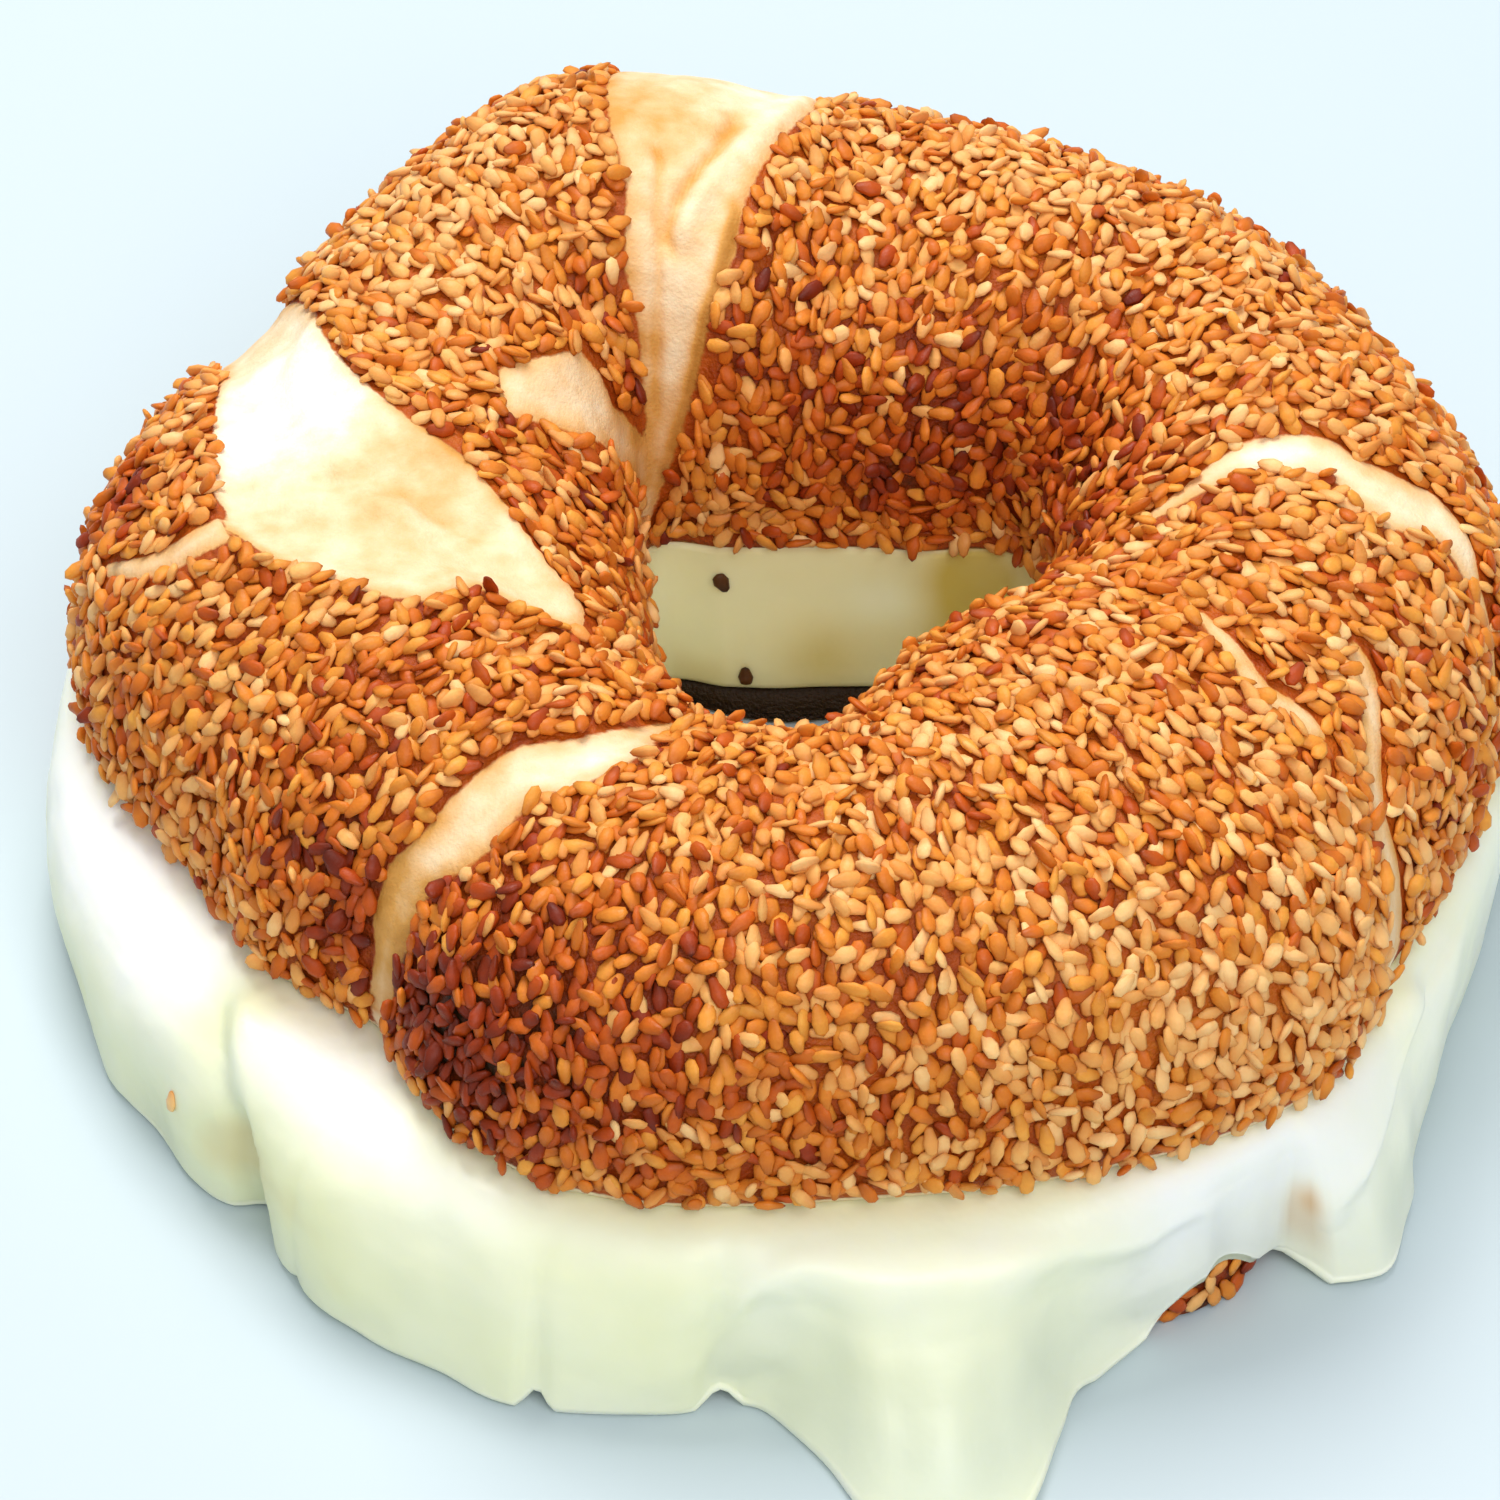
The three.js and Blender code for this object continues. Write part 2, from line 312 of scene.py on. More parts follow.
@dataclass(frozen=True)
class TopForm:
    """The upper half's form: how the hand-rolled crust differs from a true ring.

    Attributes:
        ring: The driving sizes.
        outer: What the outside's radius differs by.
        inner: What the hole's radius differs by.
        rise: What the height differs by.
        tuck: Degrees that the crust curls in below its widest place.
        seams: Where the dough is bare.
        creases: Ridges and creases of the bare dough.
    """

    ring: Ring
    outer: Outline = Outline((
        (0, -0.5), (30, -2.5), (60, -1.8), (90, -0.6), (112, 1.9), (138, -3.1), (158, -2.4), (172, -1.5),
        (188, -3.6), (205, -8.7), (216, -8.5), (228, -10), (250, -2.6), (275, -4.1), (292, -2.6), (312, 0.1),
        (330, -4.1), (345, -3.7),
    ))
    inner: Outline = Outline((
        (0, 2), (20, 5.5), (42, 8), (60, 2.5), (90, 0), (108, 1), (124, 4), (150, -3.8),
        (180, -6), (225, -4), (270, 0.8), (295, -5), (330, -6.5), (348, -1.5),
    ))
    rise: Outline = Outline((
        (0, -1), (45, 0), (80, 0), (104, 5.5), (135, 1.6), (154, -0.8), (180, 0.3), (205, -0.5),
        (229, -2), (260, -1), (290, -0.5), (320, 0), (335, -1.5),
    ))
    tuck: float = 18.0
    seams: tuple[Seam, ...] = (
        Seam(
            rows=(
                (0, 74, 94), (60, 86, 107), (75, 88.5, 109.5), (90, 91.5, 112), (105, 96.5, 113.7),
                (120, 101, 118.5), (130, 107, 119.5), (140, 111.5, 121), (150, 115.5, 122.5),
                (165, 121, 125), (180, 126, 128),
            ),
            depth=1.2,
        ),
        Seam(
            rows=(
                (0, 136, 142), (30, 141, 150), (45, 144.5, 154), (55, 146.5, 160), (60, 148, 165),
                (65, 149.5, 172), (68, 151, 186), (72, 153, 191.5), (78, 156.5, 197), (84, 159.5, 203),
                (90, 163, 206), (97, 166.5, 205), (103, 169, 206), (108, 172, 210), (112, 178, 215),
                (116, 184, 219), (119, 191, 219), (122, 201, 216), (124, 208, 212),
            ),
            depth=2.4,
        ),
        Seam(
            rows=(
                (0, 229, 231.5), (25, 229, 232), (32, 228.2, 232.8), (45, 228, 233), (50, 229, 233.5),
                (57, 230, 236), (65, 230.5, 238), (80, 232.5, 239.5), (85, 234, 242.5), (95, 239, 246),
                (105, 242, 248), (113, 245, 247.5), (135, 250, 252), (180, 258, 259),
            ),
            depth=1.4,
        ),
        Seam(
            rows=(
                (0, 322, 325.5), (22, 322.8, 327), (31, 324.2, 328), (38, 325.8, 328.8), (45, 328.2, 331.6),
                (50, 331.4, 334.8), (54, 334, 338), (60, 337, 340), (64, 339.2, 340.6),
            ),
            depth=0.8,
        ),
        Seam(
            rows=(
                (0, 347, 348), (30, 351, 352.2), (44, 354.2, 356.2), (51, 356, 360.2), (59, 357.7, 363.2),
                (66, 356.3, 363.4), (70, 355.9, 363.8), (77, 358.2, 365), (82, 361.7, 367.2),
                (90, 363, 368.5), (100, 364, 368.7), (106, 361.7, 366.4), (112, 358, 362), (120, 354, 356),
            ),
            depth=1.0,
        ),
        Seam(
            rows=(
                (108, 149, 150), (112, 145, 157.5), (118, 140, 154), (125, 133, 149.5),
                (132, 131, 144), (140, 130.5, 139), (148, 126, 134.5), (156, 122, 129.5),
                (166, 122, 124.5),
            ),
            depth=0.5, reach=3.0,
        ),
        Seam(
            rows=((38, 180.5, 182), (48, 183.5, 186), (55, 184.5, 187.5), (67, 184, 188)),
            depth=0.4, reach=2.0,
        ),
        Seam(
            rows=(
                (58, 327, 328), (62, 326, 328.8), (66, 325.7, 329), (71, 325.7, 328.4), (79, 328.7, 331.2),
                (89, 333.2, 334.6),
            ),
            depth=0.5, reach=2.0,
        ),
    )
    creases: tuple[Crease, ...] = (
        Crease(
            line=(
                (66, 89), (73, 90.5), (84, 92.5), (91, 95), (97, 98), (103.5, 101.5), (108, 104), (114, 108),
            ),
            height=0.55, width=2.3, cream=0.1,
        ),
        Crease(
            line=((86, 96.5), (96, 99.8), (101.5, 103.3), (107, 106.8), (112, 109.5), (115.5, 111)),
            height=-0.8, width=1.1, cream=-0.3,
        ),
        Crease(
            line=((98, 107.8), (101, 108.5), (112, 111.5), (122.5, 114), (133, 117), (146, 120)),
            height=-0.6, width=0.8, cream=-0.2,
        ),
        Crease(
            line=((112, 99.5), (124, 104), (128, 106), (132, 108.5), (139, 111.5), (147, 114.5), (156, 118)),
            height=0.3, width=1.4, cream=-0.5,
        ),
        Crease(line=((70, 158), (84, 172), (96, 186)), height=0.5, width=4.0, cream=0.0),
        Crease(line=((84, 178), (98, 180), (110, 190)), height=-0.5, width=3.0, cream=-0.05),
    )

    def groove(self, angles: Array, stations: Array) -> Array:
        """Depth of all the seams' dips, in millimetres."""
        return sum(seam.groove(angles, stations) for seam in self.seams)

    def section(self, angles: Array, stations: Array) -> tuple[Array, Array]:
        """Works out the crust: an arch over the cut that curls in below its widest place.

        Args:
            angles: Degrees round the ring.
            stations: Stations of the places.

        Returns:
            Radii and heights, in millimetres.
        """
        outer = self.ring.outer + self.outer.at(angles)
        inner = self.ring.inner + self.inner.at(angles)
        rise = self.ring.top_height + self.rise.at(angles)
        flat = math.sin(math.radians(self.tuck))
        bend = np.radians(lerp(-self.tuck, 180.0 + self.tuck, stations / 180.0))
        sunk = 1.0 - self.groove(angles, stations) / rise
        across = np.cos(bend) / math.sqrt(1.0 - flat * flat) * sunk
        up = (np.sin(bend) + flat) / (1.0 + flat) * sunk
        return (outer + inner) / 2.0 + (outer - inner) / 2.0 * across, self.ring.cut + rise * up


@dataclass(frozen=True)
class BaseForm:
    """The lower half's form, which rounds in below its widest place.

    Attributes:
        ring: The driving sizes.
        top: The upper half, which has the same hole.
        outer: What the outside's radius differs by.
        belly: Height of the widest place.
        undercut: How far the bottom edge rounds in, but for the bulge.
        roundness: How near the round comes to a full quarter turn.
        bulge: Where the bottom edge swells out again.
        taper: How much narrower the cut is than the widest place.
        hole_step: How much wider the hole is than the upper half's.
        hole_share: Share of the outside's rounding that the hole has.
        hole_rim: How far a rim of crust stands into the hole at the back, where it carries painted shade.
        rim_height: Height at which that rim is gone.
        rim_power: How quickly it goes.
    """

    ring: Ring
    top: TopForm
    outer: Outline = Outline((
        (0, -1.2), (45, -1.5), (90, -1.5), (135, 0), (178, 0.5), (205, 0), (225, -1.5),
        (250, 1.5), (275, 1), (300, 1), (318, 0), (335, -2.6), (350, -2.6),
    ))
    belly: float = 7.0
    undercut: float = 6.0
    roundness: float = 0.96
    bulge: Bump = Bump(301.5, 8, 1.1, 1.5)
    taper: float = 0.8
    hole_step: float = 2.0
    hole_share: float = 0.7
    hole_rim: Bump = Bump(90, 80, 7.5, 1.2)
    rim_height: float = 3.0
    rim_power: float = 1.5

    def rounding(self, heights: Array) -> Array:
        """How far the round of the bottom edge comes in at the heights."""
        drop = np.clip((self.belly - heights) / self.belly, 0.0, 1.0)
        return self.undercut * (1.0 - np.sqrt(1.0 - drop * drop * self.roundness))

    def outside(self, angles: Array, heights: Array) -> Array:
        """Works out the outside.

        Args:
            angles: Degrees round the ring.
            heights: Heights, in millimetres.

        Returns:
            Radii in millimetres.
        """
        above = np.clip((heights - self.belly) / self.belly, 0.0, 1.0) * self.taper
        rounding = self.rounding(heights) * (1.0 - self.bulge.height(angles))
        return self.ring.outer + self.outer.at(angles) - rounding - above

    def hole(self, angles: Array, heights: Array) -> Array:
        """Works out the hole, with the rim of crust that shows under the cheese at the back.

        Args:
            angles: Degrees round the ring.
            heights: Heights, in millimetres.

        Returns:
            Radii in millimetres.
        """
        start = self.ring.inner + self.top.inner.at(angles) + self.hole_step
        rounding = self.hole_share * self.rounding(heights)
        low = np.clip(1.0 - heights / self.rim_height, 0.0, 1.0) ** self.rim_power
        return start + rounding - self.hole_rim.height(angles) * low * (rounding / self.undercut + 1.0)


@dataclass(frozen=True)
class Fold:
    """A fold where one run of cheese lies over another.

    Attributes:
        line: (share down the skirt, angle) of the edge that lies on top.
        height: How far that edge stands up, in millimetres.
        fade: Degrees over which the run on top sinks back to the skirt.
        edge: Degrees over which the edge drops.
        sink: Degrees over which the run below sinks towards the edge.
        trough: Share of the height that the run below sinks by.
    """

    line: Rows
    height: float
    fade: float
    edge: float
    sink: float = 4.0
    trough: float = 0.45

    def relief(self, angles: Array, shares: Array) -> Array:
        """Works out how far the fold stands out.

        Args:
            angles: Degrees round the ring.
            shares: Shares down the skirt.

        Returns:
            Heights over the plain skirt, in millimetres.
        """
        places, degrees = np.array(self.line, float).T
        off = turn(np.interp(shares, places, degrees), angles)
        rise = smoothstep(off, -self.edge, self.edge)
        sunk = np.exp(-((np.minimum(off, 0.0) / self.sink) ** 2)) * (1.0 - rise)
        return self.height * (rise * (1.0 - smoothstep(off, 0.0, self.fade)) - self.trough * sunk)


@dataclass(frozen=True)
class CheeseForm:
    """The filling's form: a layer, a skirt that has run down the outside, and a wall in the hole.

    Attributes:
        ring: The driving sizes.
        top: The upper half, below which the skirt starts.
        base: The lower half, which the skirt hangs over.
        shoulder: How far the skirt's shoulder stands out from the lower half.
        hem_at_rest: Height of the hem where the cheese hasn't run.
        run_from: Angle at which the run of cheese starts.
        run_to: Angle at which it ends.
        run_ease: Degrees over which it starts and ends.
        foot: Radius of the hem where the cheese has run.
        bare_hem: Where the hem rises from bare crust.
        drips: What hangs below the hem where the cheese hasn't run.
        notches: Small nicks in the hem.
        hole_run: How far the wall in the hole has run down, from 0 to 1.
        hole_bulge: How far the wall's foot swells into the hole.
        hole_feet: Heights of the wall's foot, where it hasn't run and where it has.
        drape: How much the skirt over the tongue hangs clear of the bread.
        arch: (angle, share down the skirt) of the ridge that the tongue hangs from.
        folds: Folds of one run over another.
        lip: Thickness of the hem.
        skins: Clearances to the lower half, at its foot and at its cut.
    """

    ring: Ring
    top: TopForm
    base: BaseForm
    shoulder: float = 3.0
    hem_at_rest: float = 12.4
    run_from: float = 158.0
    run_to: float = 386.0
    run_ease: float = 26.0
    foot: Outline = Outline((
        (10, 66.5), (90, 67), (172, 67), (187, 68.2), (198, 67.8), (208, 68.4), (213, 67.7), (219.5, 68.4),
        (222.7, 67.8), (224.3, 65.8), (226.5, 65.2), (232, 68.2), (237.3, 70.2), (244.6, 71.4), (248.6, 72.8),
        (252, 72.7), (258.4, 71.2), (262.2, 70.2), (264.4, 68.9), (265.7, 68.8),
        (267.6, 69.4), (270, 72.4), (272, 75.8), (273.5, 79.8), (275.4, 84), (278, 86.6), (280.2, 86.6),
        (282.4, 84.6), (284.4, 81.2), (287, 75.8), (289.5, 72.1), (294.6, 69), (299, 67.6), (305, 67.3),
        (308.7, 67.3), (309.2, 69.8), (309.8, 71.8), (310.5, 72.7), (311.3, 73.4), (312.2, 74), (313.4, 74.6),
        (314.7, 74.4), (316.3, 73.3), (317.8, 72.1), (320.8, 70.1), (323.7, 67.8),
        (329.6, 65.4), (335, 64), (343.4, 64), (355, 65),
    ))
    bare_hem: tuple[Bump, ...] = (Bump(301, 5, 4.4, 1.2), Bump(305.6, 4.2, 2.7, 0.5))
    drips: tuple[Bump, ...] = (
        Bump(166, 5, 2.2), Bump(147, 8, 4.4, 1.6), Bump(131, 6, 1.5), Bump(110, 10, 2.6, 1.4),
        Bump(89, 7, 1.2), Bump(68, 8, 5.4, 1.6), Bump(51, 7, 1.6), Bump(36, 8, 3.6), Bump(17, 6, 2.6),
    )
    notches: tuple[Bump, ...] = (
        Bump(251.9, 1.3, 1.7), Bump(264.4, 1.7, 1.6), Bump(232, 1.2, 0.5), Bump(289.5, 2, 0.6),
    )
    hole_run: Bump = Bump(90, 75)
    hole_bulge: float = 1.5
    hole_feet: tuple[float, float] = (6.0, 1.7)
    drape: Bump = Bump(281, 23, 0.5, 1.3)
    arch: Rows = (
        (262, 0.8), (263.5, 0.7), (266.7, 0.36), (270, 0.27), (281, 0.28), (292, 0.37), (300, 0.47),
        (303, 0.6), (306, 0.7),
    )
    folds: tuple[Fold, ...] = (
        Fold(
            line=((0.0, 216.5), (0.15, 218), (0.3, 221.5), (0.55, 226), (0.8, 227.2), (1.0, 227.8)),
            height=2.2, fade=24.0, edge=1.9, sink=6.0,
        ),
        Fold(line=((0.0, 242), (0.4, 244), (0.7, 242), (1.0, 239)), height=0.35, fade=10.0, edge=2.4),
        Fold(
            line=(
                (0.28, 327), (0.34, 322.8), (0.44, 319), (0.5, 315.6), (0.57, 313.2), (0.64, 311.4),
                (0.75, 310.1), (0.9, 309.4), (1.0, 309),
            ),
            height=-0.9, fade=14.0, edge=1.8,
        ),
    )
    lip: float = 2.0
    skins: tuple[float, float] = (0.9, 0.4)

    def hem(self, angles: Array) -> Array:
        """Works out the skirt's lower edge.

        Args:
            angles: Degrees round the ring.

        Returns:
            Heights in millimetres.
        """
        middle, half = (self.run_from + self.run_to) / 2.0, (self.run_to - self.run_from) / 2.0
        run = smoothstep(half - np.abs(turn(middle, angles)), 0.0, self.run_ease)
        lifted = sum(notch.height(angles) for notch in self.bare_hem + self.notches)
        hanging = self.hem_at_rest - sum(drip.height(angles) for drip in self.drips)
        return lerp(hanging, lifted, run)

    def run(self, angles: Array) -> Array:
        """How far down the cheese has run, 1 where it reaches the plate."""
        return 1.0 - self.hem(angles) / self.hem_at_rest

    def hole_foot(self, angles: Array) -> Array:
        """Height of the lower edge of the wall in the hole."""
        full_run = 0.4
        return lerp(*self.hole_feet, smoothstep(self.hole_run.height(angles), 0.0, full_run))

    def skin(self, heights: Array) -> Array:
        """Clearance to the lower half, wider round its bottom edge."""
        return lerp(*self.skins, heights / (self.ring.base_height + self.ring.gap))

    def wall_section(self, angles: Array, shares: Array) -> tuple[Array, Array]:
        """Works out the wall in the hole.

        Args:
            angles: Degrees round the ring.
            shares: 0 at the wall's rounded foot, 1 at its top.

        Returns:
            Radii and heights, in millimetres.
        """
        edge, rounded = 0.7, 0.2
        swelling = (2.0, 15.0)
        bend = np.clip(shares / rounded, 0.0, 1.0) * math.pi / 2.0
        wall = self.ring.inner + self.top.inner.at(angles) + self.ring.gap
        up = np.clip((shares - rounded) / (1.0 - rounded), 0.0, 1.0)
        start = self.hole_foot(angles) + edge * (1.0 - np.cos(bend))
        heights = lerp(start, self.ring.cut - self.ring.gap, up)
        bulge = self.hole_bulge * self.hole_run.height(angles) * (1.0 - smoothstep(heights, *swelling))
        return wall - bulge + edge * (1.0 - np.sin(bend)), heights

    def hollow(self, angles: Array, shares: Array) -> Array:
        """Works out the hollow of the tongue below the arch it hangs from.

        Args:
            angles: Degrees round the ring.
            shares: Shares down the skirt.

        Returns:
            Depths in millimetres.
        """
        deep, ridge, ridge_width = 1.3, 0.55, 0.08
        left_end, right_end = (-1.0, 5.0), (0.0, 8.0)
        sinking, rising = (-0.02, 0.2), (0.3, 0.75)
        degrees, places = np.array(self.arch, float).T
        below = shares - np.interp(np.mod(angles, 360.0), degrees, places)
        left = smoothstep(angles - degrees[0], *left_end)
        right = smoothstep(degrees[-1] - angles, *right_end)
        sunk = smoothstep(below, *sinking) * (1.0 - smoothstep(below, *rising))
        return left * right * (deep * sunk - ridge * np.exp(-((below / ridge_width) ** 2)))

    def skirt_section(self, angles: Array, shares: Array) -> tuple[Array, Array]:
        """Works out the skirt: a Bezier curve from the shoulder to the hem, with a round lip.

        Args:
            angles: Degrees round the ring.
            shares: 0 at the top edge, 1 where the lip starts, and up to 2 under the lip.

        Returns:
            Radii and heights, in millimetres.
        """
        inset, cover, shoulder_cover, overhang = 0.5, 1.2, 1.6, 1.5
        smoothing = (-7.5, -5.0, -2.5, 0.0, 2.5, 5.0, 7.5)
        full_flare, clear_reach = 12.0, 2.0
        thin_lip, lean = 0.45, 0.3
        rest_slope, run_slope, flared_slope = 40.0, -5.0, 75.0
        rest_handle, run_handle, flared_handle, least_flared_handle = 1.2, 6.0, 0.7, 2.0
        base = self.ring.outer + self.base.outer.at(angles)
        top = self.ring.outer + self.top.outer.at(angles) - inset
        low, run = self.hem(angles), self.run(angles)
        edge = self.base.outside(angles, low)
        foot = lerp(edge + cover, self.foot.at(angles), run)
        around = [lerp(edge + cover, self.foot.at(angles + step), run) for step in smoothing]
        reach = np.maximum(sum(around) / len(around) - base - clear_reach, 0.0)
        flare = np.clip(np.maximum(reach / full_flare, self.drape.height(angles)), 0.0, 1.0)
        wide = base + self.shoulder + lean * (base - top)
        shoulder = np.maximum(lerp(edge + shoulder_cover, wide, run), top + overhang)
        half_lip = lerp(thin_lip, self.lip / 2.0, run)
        leave = np.radians(lerp(lerp(rest_slope, run_slope, run), flared_slope, flare))
        lip_radius, lip_height = foot - half_lip, low + half_lip
        end_radius = lip_radius + half_lip * np.cos(leave)
        end_height = lip_height + half_lip * np.sin(leave)
        long_handle = flared_handle * reach + least_flared_handle
        handle = lerp(lerp(rest_handle, run_handle, run), long_handle, flare)
        corners = (
            (top, self.ring.cut - self.ring.gap),
            (shoulder, self.ring.cut - self.ring.gap),
            (end_radius - handle * np.sin(leave), end_height + handle * np.cos(leave)),
            (end_radius, end_height),
        )
        share = np.clip(shares, 0.0, 1.0)
        weights = ((1 - share) ** 3, 3 * share * (1 - share) ** 2, 3 * share**2 * (1 - share), share**3)
        radii, heights = (
            sum(weight * corner[axis] for weight, corner in zip(weights, corners)) for axis in (0, 1)
        )
        round_off = lerp(leave, math.radians(-90.0), np.clip(shares - 1.0, 0.0, 1.0))
        radii = np.where(shares > 1.0, lip_radius + half_lip * np.cos(round_off), radii)
        heights = np.where(shares > 1.0, lip_height + half_lip * np.sin(round_off), heights)
        return radii, heights

    def relief(self, angles: Array, shares: Array) -> Array:
        """Works out how far the skirt's folds and hollow stand out.

        Args:
            angles: Degrees round the ring.
            shares: Shares down the skirt, past 1 under the lip.

        Returns:
            Heights over the plain section, in millimetres.
        """
        below_top, on_lip, lost_on_lip = (0.02, 0.22), (0.9, 1.6), 0.5
        down = smoothstep(shares, *below_top) * (1.0 - lost_on_lip * smoothstep(shares, *on_lip))
        folds = sum(fold.relief(angles, np.clip(shares, 0.0, 1.0)) for fold in self.folds)
        return (folds - self.hollow(angles, shares)) * down * self.run(angles)


# ---- Blender by hand ----


class Bench:
    """Blender's tools used as by hand, on one object at a time with all else deselected."""

    @staticmethod
    def clear() -> None:
        """Deselects everything."""
        if bpy.context.object and bpy.context.object.mode != "OBJECT":
            bpy.ops.object.mode_set(mode="OBJECT")
        for each in bpy.data.objects:
            each.select_set(False)

    @classmethod
    def take(cls, piece: bpy.types.Object) -> None:
        """Makes a piece the only one selected, and the active one.

        Args:
            piece: The piece.
        """
        cls.clear()
        piece.select_set(True)
        bpy.context.view_layer.objects.active = piece

    @staticmethod
    def name(name: str) -> bpy.types.Object:
        """Names the primitive that was just added, and applies where it was put.

        Args:
            name: Its name.

        Returns:
            The new piece.
        """
        piece = bpy.context.object
        piece.name = name
        piece.data.name = name
        bpy.ops.object.transform_apply(location=True, rotation=True, scale=True)
        return piece

    @staticmethod
    def read(piece: bpy.types.Object) -> Array:
        """Reads a mesh.

        Args:
            piece: The piece.

        Returns:
            Its corners, in millimetres.
        """
        flat = np.zeros(len(piece.data.vertices) * 3, np.float32)
        piece.data.vertices.foreach_get("co", flat)
        return flat.reshape(-1, 3).astype(float) / MM

    @staticmethod
    def mark(piece: bpy.types.Object, name: str, values: Array) -> None:
        """Keeps a value for each corner as an attribute that finishes can read."""
        attribute = piece.data.attributes.new(name, "FLOAT", "POINT")
        attribute.data.foreach_set("value", np.ravel(values).astype(np.float32))

    @staticmethod
    def normals(points: Array) -> Array:
        """Works out which way is outward.

        Args:
            points: A closed grid of (rings, columns) places.

        Returns:
            A unit vector for each.
        """
        around = np.roll(points, -1, axis=0) - np.roll(points, 1, axis=0)
        over = np.roll(points, -1, axis=1) - np.roll(points, 1, axis=1)
        outward = np.cross(around, over)
        return outward / np.maximum(np.linalg.norm(outward, axis=-1, keepdims=True), 1e-9)

    @staticmethod
    def finish(piece: bpy.types.Object, material: bpy.types.Material, slot: str, node: str) -> None:
        """Dresses a piece, ties it to the frame and reports it.

        Args:
            piece: The finished piece.
            material: Its finish.
            slot: The record's material slot; not used.
            node: The CAD node that it stands for.
        """
        piece.data.materials.append(material)
        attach(piece, BODY)
        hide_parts(node)
        LOG.info("%s: %d triangles", piece.name, len(piece.data.loops) - 2 * len(piece.data.polygons))


@dataclass
class Tube:
    """A closed tube round the ring's axis, as a grid of (rings, columns) corners.

    Attributes:
        piece: The mesh object.
        rings: Sections round the axis, the first at angle 0.
        columns: Corners of each section, counted from the outside up over the crest.
        order: Place in the grid of each of the mesh's corners.
    """

    piece: bpy.types.Object
    rings: int
    columns: int
    order: Array

    @classmethod
    def add(cls, name: str, ring: Ring, rings: int, columns: int) -> "Tube":
        """Adds a torus round the ring's axis and cuts each of its faces into three by three.

        Args:
            name: Name of the new piece.
            ring: The ring whose strand it follows.
            rings: Sections round the axis, a multiple of 3.
            columns: Corners of each section, a multiple of 3.

        Returns:
            The tube, still round.
        """
        cuts = 2
        Bench.clear()
        bpy.ops.mesh.primitive_torus_add(
            major_segments=rings // (cuts + 1),
            minor_segments=columns // (cuts + 1),
            major_radius=ring.strand_radius * MM,
            minor_radius=ring.strand_width / 2.0 * MM,
            location=(ring.axis[0] * MM, ring.axis[1] * MM, ring.cut * MM),
        )
        piece = Bench.name(name)
        bpy.ops.object.mode_set(mode="EDIT")
        bpy.ops.mesh.select_all(action="SELECT")
        bpy.ops.mesh.subdivide(number_cuts=cuts)
        bpy.ops.object.mode_set(mode="OBJECT")
        bpy.ops.object.shade_smooth()
        x, y, z = (Bench.read(piece) - (*ring.axis, ring.cut)).T
        around = np.round(np.arctan2(y, x) / (2.0 * math.pi) * rings).astype(int) % rings
        over = np.arctan2(z, np.hypot(x, y) - ring.strand_radius) / (2.0 * math.pi)
        return cls(piece, rings, columns, around * columns + np.round(over * columns).astype(int) % columns)

    @property
    def angles(self) -> Array:
        """Angle of each section, as a column."""
        return np.arange(self.rings)[:, None] * 360.0 / self.rings

    def shape(self, points: Array) -> None:
        """Moves the corners.

        Args:
            points: Their grid of places, in millimetres.
        """
        places = points.reshape(-1, 3)[self.order] * MM
        self.piece.data.vertices.foreach_set("co", places.astype(np.float32).ravel())
        self.piece.data.update()

    def read(self) -> Array:
        """Reads the corners.

        Returns:
            Their grid of places, in millimetres.
        """
        points = np.zeros((self.rings * self.columns, 3))
        points[self.order] = Bench.read(self.piece)
        return points.reshape(self.rings, self.columns, 3)

    def laid(self, values: Array) -> Array:
        """A grid of values, one for each corner in the mesh's own order."""
        return np.broadcast_to(values, (self.rings, self.columns)).ravel()[self.order]

    def mark(self, **values: Array) -> None:
        """Keeps grids of values as attributes that finishes can read, each under its name."""
        for name, grid in values.items():
            Bench.mark(self.piece, name, self.laid(grid))

    def roughen(self, size: float, strength: float, weights: Array) -> None:
        """Gives the piece soft lumps with a Displace modifier, and applies it.

        Args:
            size: Size of a lump, in millimetres.
            strength: Height from the lowest to the highest, in millimetres.
            weights: How much of it each corner takes, from 0 to 1.
        """
        steps = 20
        group = self.piece.vertex_groups.new(name="lumps")
        levels = np.round(np.clip(self.laid(weights), 0.0, 1.0) * steps).astype(int)
        for level in range(1, steps + 1):
            group.add(np.flatnonzero(levels == level).tolist(), level / steps, "REPLACE")
        texture = bpy.data.textures.new(f"{self.piece.name}_lumps", "CLOUDS")
        texture.noise_scale = size * MM
        texture.noise_depth = 1
        Bench.take(self.piece)
        lumps = self.piece.modifiers.new("lumps", "DISPLACE")
        lumps.texture = texture
        lumps.texture_coords = "LOCAL"
        lumps.vertex_group = group.name
        lumps.mid_level = 0.5
        lumps.strength = strength * MM
        bpy.ops.object.modifier_apply(modifier=lumps.name)
        self.piece.vertex_groups.clear()


# ---- Finishes ----


